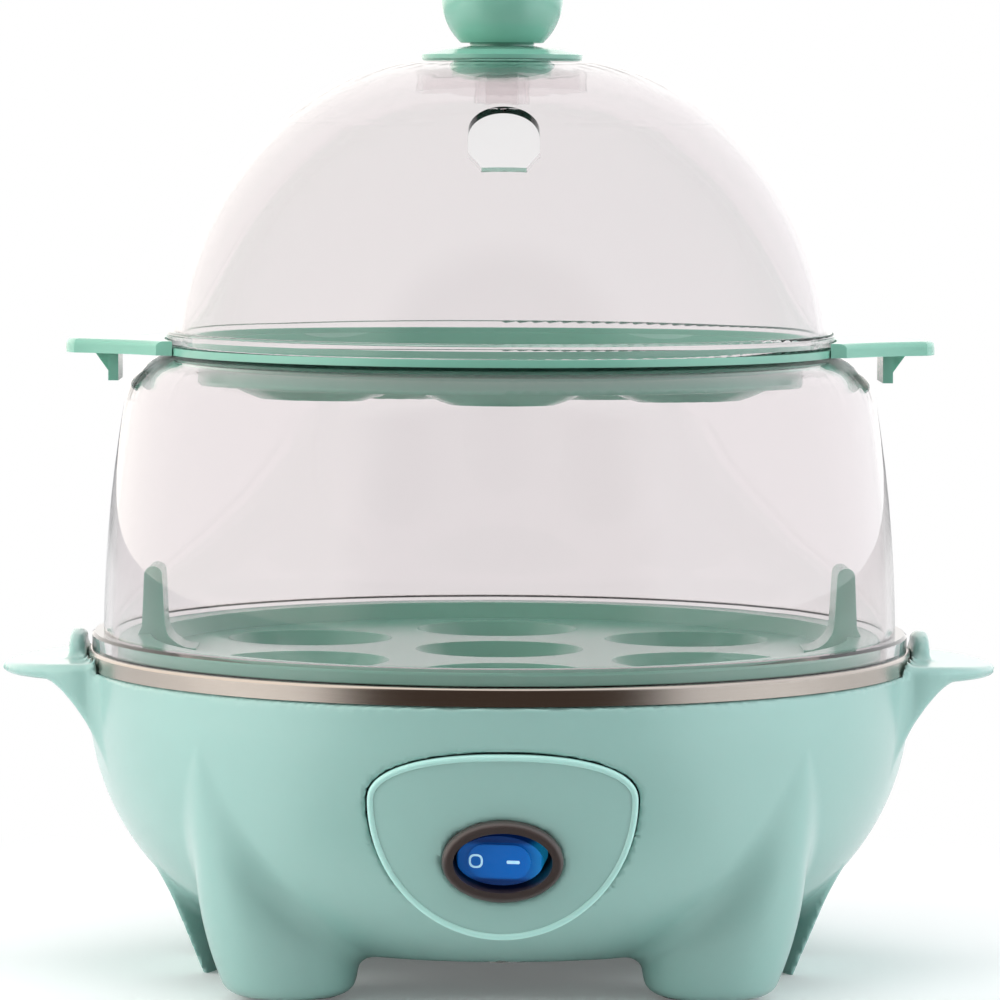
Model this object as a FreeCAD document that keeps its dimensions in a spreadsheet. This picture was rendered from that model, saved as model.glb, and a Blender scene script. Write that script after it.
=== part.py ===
import FreeCAD, Part
import math
import os
import Sketcher
from FreeCAD import Placement, Rotation, Vector

# A two-tier electric egg cooker. Millimetres and degrees. +Z up, front facing -Y, the origin on the
# table under the middle of the cooker.

doc = FreeCAD.newDocument("EggCooker")

DRIVING_DIMENSIONS = {
    # housing bowl and its legs
    "rim_radius": 90.0,
    "bowl_side_radius": 90.2,
    "bowl_top": 66.7,
    "bowl_arc_centre_height": 60.0,
    "bowl_arc_radius": 54.8,
    "belly_height": 8.5,
    "housing_wall": 2.5,
    "rim_lip_radius": 88.8,
    "leg_spread_radius": 59.0,
    "leg_lean": 30.0,
    "leg_bulge_radius": 14.8,
    "leg_bulge_height": 9.0,
    "leg_flank_radius": 88.0,
    "leg_sole_height": 0.8,
    "foot_pad_radius": 7.2,
    "foot_pad_height": 2.8,
    # carrying handles
    "handle_reach": 109.3,
    "handle_half_width": 25.0,
    "handle_top": 70.5,
    "post_inner_face": 90.9,
    "post_thickness": 3.3,
    "post_top": 74.4,
    # heating plate and what hangs under it
    "plate_radius": 90.3,
    "plate_top": 70.8,
    "plate_skirt_bottom": 67.0,
    "plate_thickness": 0.8,
    "dish_mouth_radius": 79.0,
    "dish_floor_radius": 64.0,
    "dish_floor": 48.8,
    "spreader_radius": 56.0,
    "spreader_thickness": 3.0,
    "element_ring_radius": 44.0,
    "element_tube_radius": 3.3,
    "thermostat_radius": 8.5,
    "thermostat_height": 7.0,
    "stud_circle_radius": 52.0,
    "stud_radius": 3.0,
    "boss_top": 24.0,
    "screw_radius": 1.6,
    # bottom cover
    "access_radius": 39.0,
    "cover_plate_radius": 44.3,
    "cover_plate_thickness": 2.0,
    "cover_screw_circle": 41.8,
    "cover_screw_radius": 1.3,
    # switch panel and switch
    "panel_face_radius": 90.9,
    "panel_lean": 6.0,
    "panel_top": 57.3,
    "panel_widest_height": 48.0,
    "panel_half_width": 27.85,
    "panel_bottom": 18.5,
    "panel_wall": 2.4,
    "switch_height": 35.1,
    "bezel_length": 25.0,
    "bezel_height": 17.1,
    "bezel_opening_length": 20.4,
    "bezel_opening_height": 12.5,
    "rocker_length": 18.0,
    "rocker_height": 10.3,
    "rocker_rest_tilt": 8.0,
    "gland_height": 24.0,
    "gland_seat": 77.5,
    "cord_radius": 3.3,
    # lower tray and lower cover
    "lower_tray_radius": 83.8,
    "lower_tray_top": 73.6,
    "lower_floor": 70.0,
    "tray_thickness": 1.6,
    "lower_well_circle": 49.0,
    "lower_well_mouth": 18.5,
    "lower_well_sphere": 22.0,
    "lower_well_drain": 7.0,
    "cover_flange_radius": 89.5,
    "cover_flange_top": 74.5,
    "cover_foot_radius": 87.0,
    "cover_side_arc": 320.0,
    "cover_shoulder_radius": 12.0,
    "cover_top": 135.4,
    "cover_wall": 1.8,
    "cover_opening_radius": 66.6,
    # upper tray
    "upper_ring_radius": 74.0,
    "upper_ring_top": 137.0,
    "upper_skirt_radius": 66.2,
    "upper_floor": 131.0,
    "upper_well_circle": 43.0,
    "upper_well_mouth": 16.0,
    "upper_well_sphere": 30.0,
    "upper_well_drain": 11.0,
    "tab_reach": 95.3,
    "tab_top": 138.5,
    "tab_thickness": 3.1,
    # dome and knob
    "dome_lip_radius": 73.2,
    "dome_lip_top": 140.2,
    "dome_centre_height": 132.2,
    "dome_radius": 72.2,
    "dome_shoulder_radius": 55.0,
    "dome_crown_radius": 120.0,
    "dome_top": 201.0,
    "dome_wall": 2.0,
    "vent_width": 15.0,
    "vent_length": 18.0,
    "knob_flange_radius": 17.6,
    "knob_neck_radius": 6.3,
    "knob_ball_radius": 13.3,
    "knob_ball_height": 213.0,
}

sheet = doc.addObject("Spreadsheet::Sheet", "Dimensions")
for row, (alias, amount) in enumerate(DRIVING_DIMENSIONS.items(), start=1):
    sheet.set(f"A{row}", alias.replace("_", " "))
    sheet.set(f"B{row}", str(amount))
    sheet.setAlias(f"B{row}", alias)
doc.recompute()


class Size:
    """A size that carries its number and the sheet formula that gives it."""

    def __init__(self, number, formula):
        self.number = number
        self.formula = formula

    def __float__(self):
        return self.number

    def __add__(self, other):
        other = as_size(other)
        return Size(self.number + other.number, f"({self.formula} + {other.formula})")

    def __sub__(self, other):
        other = as_size(other)
        return Size(self.number - other.number, f"({self.formula} - {other.formula})")

    def __mul__(self, other):
        other = as_size(other)
        return Size(self.number * other.number, f"({self.formula} * {other.formula})")

    def __truediv__(self, other):
        other = as_size(other)
        return Size(self.number / other.number, f"({self.formula} / {other.formula})")

    def __neg__(self):
        return self * -1

    __radd__ = __add__
    __rmul__ = __mul__

    def __rsub__(self, other):
        return as_size(other) - self

    def root(self):
        return Size(math.sqrt(self.number), f"sqrt({self.formula})")


def as_size(amount):
    return amount if isinstance(amount, Size) else Size(float(amount), f"{float(amount):.6f}")


class Dimensions:
    """Looks a driving dimension up in the sheet by its alias."""

    def __getattr__(self, alias):
        return Size(float(sheet.get(alias)), f"Dimensions.{alias}")


size = Dimensions()
pieces = {}


def bind(thing, property_name, amount):
    thing.setExpression(property_name, as_size(amount).formula)


def polar(radius, degrees, height=0.0):
    """The point at that distance from the middle, counted anticlockwise from +X."""
    angle = math.radians(degrees)
    return (radius * math.cos(angle), radius * math.sin(angle), height)


# ---------------------------------------------------------------- sketches and turned bodies

def arc_between(start, end, radius, turn):
    """The short arc between two points; turn is left or right as one walks along it."""
    middle = (start + end) * 0.5
    half = (end - start).Length / 2
    aside = Vector(start.y - end.y, end.x - start.x, 0).normalize()
    reach = math.sqrt(max(radius**2 - half**2, 0.0))
    centre = middle + aside * (reach if turn == "left" else -reach)
    first, last = (start, end) if turn == "left" else (end, start)
    circle = Part.Circle(centre, Vector(0, 0, 1), radius)
    return Part.ArcOfCircle(circle, circle.parameter(first), circle.parameter(last))


def place_point(sketch, edge, end, x, y):
    """Hold one end of an edge at x, y with constraints bound to the sheet."""
    for amount, kind, axis in ((x, "DistanceX", -2), (y, "DistanceY", -1)):
        if abs(float(amount)) < 1e-9:
            sketch.addConstraint(Sketcher.Constraint("PointOnObject", edge, end, axis))
        else:
            index = sketch.addConstraint(Sketcher.Constraint(kind, -1, 1, edge, end, float(amount)))
            sketch.setExpression(f"Constraints[{index}]", as_size(amount).formula)


def draw(sketch, corners):
    """Draw a closed outline. A corner is (x, y), or (x, y, radius, turn) where an arc leaves it."""
    count = len(corners)
    points = [Vector(float(corner[0]), float(corner[1]), 0) for corner in corners]
    edges = []
    for i, corner in enumerate(corners):
        start, end = points[i], points[(i + 1) % count]
        if len(corner) == 2:
            edges.append((sketch.addGeometry(Part.LineSegment(start, end)), 1, 2))
            continue
        arc = sketch.addGeometry(arc_between(start, end, float(corner[2]), corner[3]))
        index = sketch.addConstraint(Sketcher.Constraint("Radius", arc, float(corner[2])))
        sketch.setExpression(f"Constraints[{index}]", as_size(corner[2]).formula)
        edges.append((arc, 1, 2) if corner[3] == "left" else (arc, 2, 1))
    for i, (edge, start, end) in enumerate(edges):
        following = edges[(i + 1) % count]
        sketch.addConstraint(Sketcher.Constraint("Coincident", edge, end, following[0], following[1]))
        place_point(sketch, edge, start, corners[i][0], corners[i][1])


def sketch_in(body, name, role):
    sketch = body.newObject("Sketcher::SketchObject", name)
    plane = next(feature for feature in body.Origin.OriginFeatures if feature.Role == role)
    sketch.AttachmentSupport = [(plane, "")]
    sketch.MapMode = "FlatFace"
    return sketch


def turn_about_z(body, kind, name, corners):
    """Revolve an outline, given as radius and height, all the way round the vertical axis."""
    sketch = sketch_in(body, f"{name}_outline", "XZ_Plane")
    draw(sketch, corners)
    feature = body.newObject(kind, name)
    feature.Profile = sketch
    feature.ReferenceAxis = (sketch, ["V_Axis"])
    feature.Angle = 360
    doc.recompute()
    return feature


def turned(label, corners, hollows=()):
    """A body turned from one outline, with further outlines cut out of it."""
    body = doc.addObject("PartDesign::Body", label)
    turn_about_z(body, "PartDesign::Revolution", f"{label}_turn", corners)
    for number, hollow in enumerate(hollows, start=1):
        before = body.Shape.Volume
        turn_about_z(body, "PartDesign::Groove", f"{label}_hollow_{number}", hollow)
        if body.Shape.Volume >= before:
            raise RuntimeError(f"hollow {number} of {label} cut nothing")
    return body


def soften(body, rims, radius):
    """Round the circular edges of a turned body that lie at these (radius, height) places."""
    wanted = []
    for number, edge in enumerate(body.Shape.Edges, start=1):
        if not isinstance(edge.Curve, Part.Circle):
            continue
        for rim_radius, rim_height in rims:
            near = abs(edge.Curve.Radius - float(rim_radius)) < 0.02
            if near and abs(edge.Curve.Center.z - float(rim_height)) < 0.02:
                wanted.append(f"Edge{number}")
    if len(wanted) < len(rims):
        raise RuntimeError(f"{body.Label}: found {len(wanted)} of {len(rims)} rims")
    base = body.Tip
    fillet = body.newObject("PartDesign::Fillet", f"{body.Label}_round_{len(body.Group)}")
    fillet.Base = (base, wanted)
    fillet.Radius = radius
    body.Tip = fillet
    doc.recompute()


# ---------------------------------------------------------------- primitives and booleans

def place(thing, base, turn=None):
    thing.Placement = Placement(Vector(*(float(amount) for amount in base)), turn or Rotation())
    for letter, amount in zip("xyz", base):
        bind(thing, f"Placement.Base.{letter}", amount)
    return thing


def rod(name, radius, height, base=(0, 0, 0), turn=None):
    """A round bar standing on its base point, along +Z unless it is turned."""
    bar = doc.addObject("Part::Cylinder", name)
    bind(bar, "Radius", radius)
    bind(bar, "Height", height)
    return place(bar, base, turn)


def block(name, length, width, height, base, turn=None):
    """A box that starts at its base corner."""
    solid = doc.addObject("Part::Box", name)
    for side, amount in (("Length", length), ("Width", width), ("Height", height)):
        bind(solid, side, amount)
    return place(solid, base, turn)


def ball(name, radius, centre):
    solid = doc.addObject("Part::Sphere", name)
    bind(solid, "Radius", radius)
    return place(solid, centre)


def joined(name, things):
    if len(things) == 1:
        return things[0]
    union = doc.addObject("Part::MultiFuse", name)
    union.Shapes = things
    union.Refine = True
    return union


def without(name, base, tools):
    rest = doc.addObject("Part::Cut", name)
    rest.Base = base
    rest.Tool = joined(f"{name}_tools", tools)
    rest.Refine = True
    return rest


def group_of(name, things):
    """Like pieces that share one node, each its own solid."""
    group = doc.addObject("Part::Compound", name)
    group.Links = things
    return group


def keep(label, thing):
    """Name a finished sub-part."""
    thing.Label = label
    pieces[label] = thing
    return thing


def keep_shape(label, shape):
    """A sub-part whose shape neither features nor primitives give."""
    feature = doc.addObject("Part::Feature", f"{label}_shape")
    feature.Shape = shape
    return keep(label, feature)


ALONG_Y = Rotation(Vector(1, 0, 0), -90)
ALONG_X = Rotation(Vector(0, 1, 0), 90)
LEG_AZIMUTHS = (-135, -45, 45, 135)
STUD_AZIMUTHS = (0, 90, 180, 270)


# ---------------------------------------------------------------- housing

def flat_face(edges):
    return Part.Face(Part.Wire(edges))


def turned_shape(edges):
    """Revolve edges drawn in the XZ plane about the vertical axis."""
    return flat_face(edges).revolve(Vector(0, 0, 0), Vector(0, 0, 1), 360)


def polyline(points):
    return [Part.LineSegment(a, b).toShape() for a, b in zip(points, points[1:])]


def bowl_edges(inset):
    """The bowl's section, drawn inside its outer skin by inset, closed on the axis."""
    arc_radius = float(size.bowl_arc_radius) - inset
    centre_r = float(size.bowl_side_radius) - float(size.bowl_arc_radius)
    centre_z = float(size.bowl_arc_centre_height)
    floor = float(size.belly_height) + inset
    floor_r = centre_r + math.sqrt(arc_radius**2 - (centre_z - floor)**2)
    halfway = math.radians(-35)
    side = Vector(centre_r + arc_radius, 0, centre_z)
    knee = Vector(floor_r, 0, floor)
    through = Vector(centre_r + arc_radius * math.cos(halfway), 0,
                     centre_z + arc_radius * math.sin(halfway))
    top = float(size.bowl_top) + (0 if inset == 0 else 10)
    rim = Vector(float(size.rim_radius) - inset, 0, top)
    edges = polyline([Vector(0, 0, top), Vector(0, 0, floor), knee])
    edges.append(Part.Arc(knee, through, side).toShape())
    return edges + polyline([side, rim, Vector(0, 0, top)])


def leg_shape(azimuth, inset):
    """A teardrop leaning outwards: a ball at the foot that tapers up along the bowl."""
    ball_radius = float(size.leg_bulge_radius) - inset
    flank = float(size.leg_flank_radius) - inset
    middle = float(size.leg_bulge_height)
    drop = flank - ball_radius
    tip = middle + math.sqrt(flank**2 - drop**2)
    halfway = math.asin((tip - middle) / flank) / 2
    low = Vector(0, 0, middle - ball_radius)
    cheek = Vector(ball_radius * math.sin(math.pi / 4), 0, middle - ball_radius * math.cos(math.pi / 4))
    widest = Vector(ball_radius, 0, middle)
    side = Vector(flank * math.cos(halfway) - drop, 0, middle + flank * math.sin(halfway))
    peak = Vector(0, 0, tip)
    drawn = [Part.Arc(low, cheek, widest).toShape(), Part.Arc(widest, side, peak).toShape()]
    teardrop = turned_shape(drawn + polyline([peak, low]))
    sole = float(size.leg_sole_height) if inset == 0 else 5.0
    teardrop.rotate(Vector(0, 0, 0), Vector(0, 1, 0), float(size.leg_lean))
    teardrop.translate(Vector(float(size.leg_spread_radius), 0, 0))
    room = Part.makeBox(200, 200, 100, Vector(0, -100, sole))
    leg = teardrop.common(room)
    leg.rotate(Vector(0, 0, 0), Vector(0, 0, 1), azimuth)
    return leg


HANDLE_ROOT = 85.0


def handle_shape():
    """The +X handle: an ear-shaped leaf, thick at the bowl and thin at its round tip."""
    reach, top = float(size.handle_reach), float(size.handle_top)
    root = HANDLE_ROOT
    leaf = Part.Ellipse(Vector(root, 0, 0), float(size.handle_half_width), reach - root)
    leaf.Axis = Vector(0, 0, 1)
    leaf.XAxis = Vector(0, 1, 0)
    plan = Part.Face(Part.Wire([leaf.toShape()])).extrude(Vector(0, 0, 40))
    plan.translate(Vector(0, 0, 45))
    side = [Vector(84, 0, top - 1.6), Vector(96, 0, top - 1.8), Vector(reach, 0, top - 3.3),
            Vector(reach, 0, top - 5.6), Vector(98.5, 0, top - 5.4), Vector(84, 0, top - 22)]
    crown = Part.Arc(side[1], Vector(103.5, 0, top - 2.3), side[2]).toShape()
    gusset = Part.Arc(side[4], Vector(92.5, 0, top - 10.2), side[5]).toShape()
    section = [Part.LineSegment(side[0], side[1]).toShape(), crown]
    section += polyline(side[2:5]) + [gusset] + polyline([side[5], side[0]])
    slab = flat_face(section).extrude(Vector(0, 60, 0))
    slab.translate(Vector(0, -30, 0))
    return plan.common(slab)


def post_shape():
    """The +X clip post beside the rim: an upright plate with a round top."""
    inner, thick = float(size.post_inner_face), float(size.post_thickness)
    half, foot, arch_height = 9.0, 65.5, 5.0
    top = float(size.post_top)
    shoulder = top - arch_height
    edges = polyline([Vector(inner, -half, shoulder), Vector(inner, -half, foot),
                      Vector(inner, half, foot), Vector(inner, half, shoulder)])
    edges.append(Part.Arc(Vector(inner, half, shoulder), Vector(inner, 0, top),
                          Vector(inner, -half, shoulder)).toShape())
    return flat_face(edges).extrude(Vector(thick, 0, 0))


def both_sides(shape):
    return [shape, shape.mirror(Vector(0, 0, 0), Vector(1, 0, 0))]


def upright(radius, bottom, top, point=(0, 0, 0)):
    return Part.makeCylinder(radius, top - bottom, Vector(point[0], point[1], bottom))


PANEL_TOP_RADIUS = 110.0


def panel_outline(grow):
    """The shield-shaped outline of the switch panel in the XZ plane, grown outwards by grow."""
    half = float(size.panel_half_width) + grow
    wide_z = float(size.panel_widest_height)
    peak = float(size.panel_top) + grow
    bottom = float(size.panel_bottom) - grow
    top_radius = PANEL_TOP_RADIUS + grow
    rise = wide_z - peak + top_radius
    corner = (top_radius**2 - half**2 - rise**2) / (2 * (top_radius - half))
    centre = Vector(half - corner, 0, wide_z)
    to_corner = centre - Vector(0, 0, peak - top_radius)
    join = Vector(0, 0, peak - top_radius) + to_corner.normalize() * top_radius
    bend = (math.pi / 2 - math.atan2(join.x - centre.x, join.z - wide_z)) / 2
    around = centre + Vector(math.cos(bend), 0, math.sin(bend)) * corner
    wide = Vector(half, 0, wide_z)

    def flip(point):
        return Vector(-point.x, 0, point.z)

    depth = wide_z - bottom
    # each pair is a share of the half width and a share of the way down to the bottom
    shares = ((0.85, 0.461), (0.625, 0.752), (0.36, 0.927), (0.0, 1.0))
    flank = [Vector(half * across, 0, wide_z - depth * down) for across, down in shares]
    path = [wide] + flank + [flip(point) for point in reversed(flank[:-1])] + [flip(wide)]
    lower = Part.BSplineCurve()
    lower.interpolate(Points=path, InitialTangent=Vector(0, 0, -1), FinalTangent=Vector(0, 0, 1))
    return Part.Wire([
        lower.toShape(),
        Part.Arc(flip(wide), flip(around), flip(join)).toShape(),
        Part.Arc(flip(join), Vector(0, 0, peak), join).toShape(),
        Part.Arc(join, around, wide).toShape(),
    ])


def panel_prism(grow):
    prism = Part.Face(panel_outline(grow)).extrude(Vector(0, 40, 0))
    prism.translate(Vector(0, -100, 0))
    return prism


GLAND_BOSS_RADIUS = 9.5
GLAND_NECK_RADIUS = 4.9
GLAND_NECK_LENGTH = 12.0
GLAND_BOSS_WALL = 8.5
LIP_THICKNESS = 2.3
LIP_DEPTH = 4.0
LEDGE_WIDTH = 3.0
LEDGE_HEIGHT = 2.1
STUD_BOSS_RADIUS = 5.0
COVER_BOSS_RADIUS = 3.6
COVER_BOSS_TOP = 21.0
SCREW_SINK_RADIUS = 3.7


def along_y(radius, start, end):
    """A round bar along +Y at the height of the cord's entry."""
    return Part.makeCylinder(radius, end - start, Vector(0, start, float(size.gland_height)), Vector(0, 1, 0))


def housing_shape():
    bottom, wall = float(size.belly_height), float(size.housing_wall)
    top = float(size.bowl_top)
    inner_floor = bottom + wall
    body = turned_shape(bowl_edges(0.0))
    for azimuth in LEG_AZIMUTHS:
        body = body.fuse(leg_shape(azimuth, 0.0))
    lip_radius = float(size.rim_lip_radius)
    lip = upright(lip_radius, top - LIP_DEPTH, float(size.plate_top) - float(size.plate_thickness))
    body = body.fuse(both_sides(handle_shape()) + both_sides(post_shape()))
    body = body.cut(upright(float(size.plate_radius) + 0.4, top, top + 20))
    body = body.fuse(lip)
    gland_y = float(size.gland_seat)
    body = body.fuse(along_y(GLAND_BOSS_RADIUS, gland_y - 30, gland_y))
    body = body.cut(along_y(GLAND_BOSS_RADIUS, gland_y, gland_y + 20))
    hollow = turned_shape(bowl_edges(wall))
    for azimuth in LEG_AZIMUTHS:
        hollow = hollow.fuse(leg_shape(azimuth, wall))
    around_lip = upright(100, top - LIP_DEPTH, top + 20)
    hollow = hollow.cut(around_lip.cut(upright(lip_radius - LIP_THICKNESS, top - LIP_DEPTH, top + 20)))
    hollow = hollow.cut(along_y(GLAND_BOSS_RADIUS, gland_y - GLAND_BOSS_WALL, gland_y))
    body = body.cut(hollow)
    ledge_top = inner_floor + LEDGE_HEIGHT
    extras = [upright(float(size.cover_plate_radius) + LEDGE_WIDTH, bottom, ledge_top)]
    for azimuth in STUD_AZIMUTHS:
        extras.append(upright(STUD_BOSS_RADIUS, inner_floor - 1, float(size.boss_top),
                              polar(float(size.stud_circle_radius), azimuth)))
    for azimuth in LEG_AZIMUTHS:
        extras.append(upright(COVER_BOSS_RADIUS, inner_floor, COVER_BOSS_TOP,
                              polar(float(size.cover_screw_circle), azimuth)))
    body = body.fuse(extras)
    cover_seat = bottom + float(size.cover_plate_thickness) + 0.1
    tools = [upright(float(size.access_radius), 0, ledge_top),
             upright(float(size.cover_plate_radius) + 0.3, 0, cover_seat)]
    for azimuth in STUD_AZIMUTHS:
        spot = polar(float(size.stud_circle_radius), azimuth)
        tools.append(upright(float(size.screw_radius) + 0.15, 0, 40, spot))
        tools.append(upright(SCREW_SINK_RADIUS, 0, inner_floor, spot))
    for azimuth in LEG_AZIMUTHS:
        spot = polar(float(size.cover_screw_circle), azimuth)
        tools.append(upright(float(size.cover_screw_radius), 0, 30, spot))
        foot = polar(float(size.leg_spread_radius), azimuth)
        tools.append(upright(float(size.foot_pad_radius), -1, float(size.foot_pad_height), foot))
    tools.append(along_y(GLAND_NECK_RADIUS, gland_y - 30, gland_y + 10))
    tools.append(panel_prism(0.3))
    for tool in tools:
        body = body.cut(tool)
    return body.removeSplitter()


keep_shape("base_housing", housing_shape())


# ---------------------------------------------------------------- heating plate and element

slope_run = size.dish_mouth_radius - size.dish_floor_radius
slope_rise = size.plate_top - size.dish_floor
slope_length = (slope_run * slope_run + slope_rise * slope_rise).root()
wall_shift = size.plate_thickness * (slope_length - slope_run) / slope_rise
plate_under = size.plate_top - size.plate_thickness
floor_under = size.dish_floor - size.plate_thickness

heating_plate = turned("heating_plate_body", [
    (0, floor_under),
    (size.dish_floor_radius + wall_shift, floor_under),
    (size.dish_mouth_radius + wall_shift, plate_under),
    (size.plate_radius - size.plate_thickness, plate_under),
    (size.plate_radius - size.plate_thickness, size.plate_skirt_bottom),
    (size.plate_radius, size.plate_skirt_bottom),
    (size.plate_radius, size.plate_top),
    (size.dish_mouth_radius, size.plate_top),
    (size.dish_floor_radius, size.dish_floor),
    (0, size.dish_floor),
])
soften(heating_plate, [(size.plate_radius, size.plate_top)], 0.7)
soften(heating_plate, [(size.dish_floor_radius, size.dish_floor)], 4.0)
soften(heating_plate, [(size.dish_mouth_radius, size.plate_top)], 1.2)
keep("heating_plate", heating_plate)

spreader_under = floor_under - size.spreader_thickness
STRAP_SCREW_SPREAD = 26.5
STRAP_SCREW_RADIUS = 1.5
spreader_holes = [rod(f"spreader_hole_{number}", STRAP_SCREW_RADIUS, 2.0,
                      (side * STRAP_SCREW_SPREAD, 0, spreader_under))
                  for number, side in enumerate((-1, 1))]
keep("element_spreader", without("spreader_drilled", rod("spreader_disc", size.spreader_radius,
                                                         size.spreader_thickness,
                                                         (0, 0, spreader_under)), spreader_holes))

ELEMENT_SWEEP = 320
ELEMENT_GAP = (360 - ELEMENT_SWEEP) / 2
PIN_INSET = 4
PIN_LENGTH = 12.0
element = doc.addObject("Part::Torus", "element_ring")
bind(element, "Radius1", size.element_ring_radius)
bind(element, "Radius2", size.element_tube_radius)
element.Angle3 = ELEMENT_SWEEP
element_height = spreader_under - size.element_tube_radius
place(element, (0, 0, element_height), Rotation(Vector(0, 0, 1), 90 + ELEMENT_GAP))
element_parts = [element]
PIN_AZIMUTHS = (90 - ELEMENT_GAP - PIN_INSET, 90 + ELEMENT_GAP + PIN_INSET)
for number, azimuth in enumerate(PIN_AZIMUTHS):
    x, y, _ = polar(size.element_ring_radius, azimuth)
    element_parts.append(rod(f"element_leg_{number}", 1.8, PIN_LENGTH,
                             (x, y, element_height - PIN_LENGTH)))
keep("heating_element", joined("element_join", element_parts))

BLADE_THICKNESS = 0.8
BLADE_WIDTH = 4.8
BLADE_SPREAD = 2.6
THERMOSTAT_BASE_HEIGHT = 3.0
thermostat_neck = size.thermostat_radius - 5
thermostat_bottom = spreader_under - size.thermostat_height
blade_bottom = thermostat_bottom - 3 * THERMOSTAT_BASE_HEIGHT
thermostat_parts = [rod("thermostat_can", size.thermostat_radius, size.thermostat_height,
                        (0, 0, thermostat_bottom)),
                    rod("thermostat_base", thermostat_neck, THERMOSTAT_BASE_HEIGHT,
                        (0, 0, thermostat_bottom - THERMOSTAT_BASE_HEIGHT))]
for number, side in enumerate((-1, 1)):
    thermostat_parts.append(block(f"thermostat_blade_{number}", BLADE_THICKNESS, BLADE_WIDTH, 7.0,
                                  (side * BLADE_SPREAD - BLADE_THICKNESS / 2, -BLADE_WIDTH / 2,
                                   blade_bottom)))
keep("thermostat", joined("thermostat_join", thermostat_parts))

STRAP_WIDTH = 9.0
STRAP_THICKNESS = 1.0
STRAP_HALF_LENGTH = 22.0
strap_drop = size.thermostat_height + STRAP_THICKNESS
strap_bottom = spreader_under - strap_drop
strap_parts = [without("strap_ring", block("strap_bar", 2 * STRAP_HALF_LENGTH, STRAP_WIDTH, STRAP_THICKNESS,
                                           (-STRAP_HALF_LENGTH, -STRAP_WIDTH / 2, strap_bottom)),
                       [rod("strap_window", thermostat_neck, 3.0, (0, 0, strap_bottom - 1.0))])]
for number, side in enumerate((-1, 1)):
    leg_x = side * (STRAP_HALF_LENGTH - STRAP_THICKNESS / 2) - STRAP_THICKNESS / 2
    foot_x = side * (STRAP_HALF_LENGTH + STRAP_WIDTH / 2 - STRAP_THICKNESS) - STRAP_WIDTH / 2
    strap_parts.append(block(f"strap_leg_{number}", STRAP_THICKNESS, STRAP_WIDTH, strap_drop,
                             (leg_x, -STRAP_WIDTH / 2, strap_bottom)))
    strap_parts.append(without(f"strap_foot_{number}",
                               block(f"strap_flat_{number}", STRAP_WIDTH, STRAP_WIDTH, STRAP_THICKNESS,
                                     (foot_x, -STRAP_WIDTH / 2, spreader_under - STRAP_THICKNESS)),
                               [rod(f"strap_hole_{number}", STRAP_SCREW_RADIUS, 2.0,
                                    (side * STRAP_SCREW_SPREAD, 0, spreader_under - 1.5))]))
keep("thermostat_bracket", joined("strap_join", strap_parts))

STRAP_HEAD_HEIGHT = 1.6
bracket_screws = []
for number, side in enumerate((-1, 1)):
    head_top = spreader_under - STRAP_THICKNESS
    bracket_screws.append(joined(f"bracket_screw_{number}", [
        rod(f"bracket_screw_head_{number}", 2.8, STRAP_HEAD_HEIGHT,
            (side * STRAP_SCREW_SPREAD, 0, head_top - STRAP_HEAD_HEIGHT)),
        rod(f"bracket_screw_shank_{number}", STRAP_SCREW_RADIUS, 3.0,
            (side * STRAP_SCREW_SPREAD, 0, head_top))]))
keep("bracket_screws", group_of("bracket_screw_group", bracket_screws))

FUSE_RADIUS = 2.2
FUSE_LENGTH = 13.0
FUSE_Y = 24.0
LEAD_REACH = 14.5
CLIP_LENGTH = 5.0
CLIP_WIDTH = 6.4
fuse_height = spreader_under - FUSE_RADIUS
keep("thermal_fuse", joined("fuse_join", [
    rod("fuse_case", FUSE_RADIUS, FUSE_LENGTH, (-FUSE_LENGTH / 2, FUSE_Y, fuse_height), ALONG_X),
    rod("fuse_leads", 0.6, 2 * LEAD_REACH, (-LEAD_REACH, FUSE_Y, fuse_height), ALONG_X)]))
keep("fuse_clip", without("clip_cut", block("clip_block", CLIP_LENGTH, CLIP_WIDTH, 3.9,
                                            (-CLIP_LENGTH / 2, FUSE_Y - CLIP_WIDTH / 2,
                                             spreader_under - 5.1)),
                          [rod("clip_bore", FUSE_RADIUS, 9.0, (-4.5, FUSE_Y, fuse_height), ALONG_X),
                           block("clip_slot", 9.0, 2 * FUSE_RADIUS, 4.0,
                                 (-4.5, FUSE_Y - FUSE_RADIUS, fuse_height))]))

studs, plate_screws = [], []
for number, azimuth in enumerate(STUD_AZIMUTHS):
    x, y, _ = polar(size.stud_circle_radius, azimuth)
    studs.append(without(f"stud_{number}",
                         rod(f"stud_bar_{number}", size.stud_radius, spreader_under - size.boss_top,
                             (x, y, size.boss_top)),
                         [rod(f"stud_thread_{number}", size.screw_radius, 10.0, (x, y, size.boss_top))]))
    head_bottom = size.belly_height + 0.5
    plate_screws.append(joined(f"plate_screw_{number}", [
        rod(f"plate_screw_head_{number}", 3.4, 2.0, (x, y, head_bottom)),
        rod(f"plate_screw_shank_{number}", size.screw_radius, size.boss_top + 9.0 - head_bottom,
            (x, y, head_bottom))]))
keep("plate_studs", group_of("stud_group", studs))
keep("plate_screws", group_of("plate_screw_group", plate_screws))


# ---------------------------------------------------------------- bottom cover and feet

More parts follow.
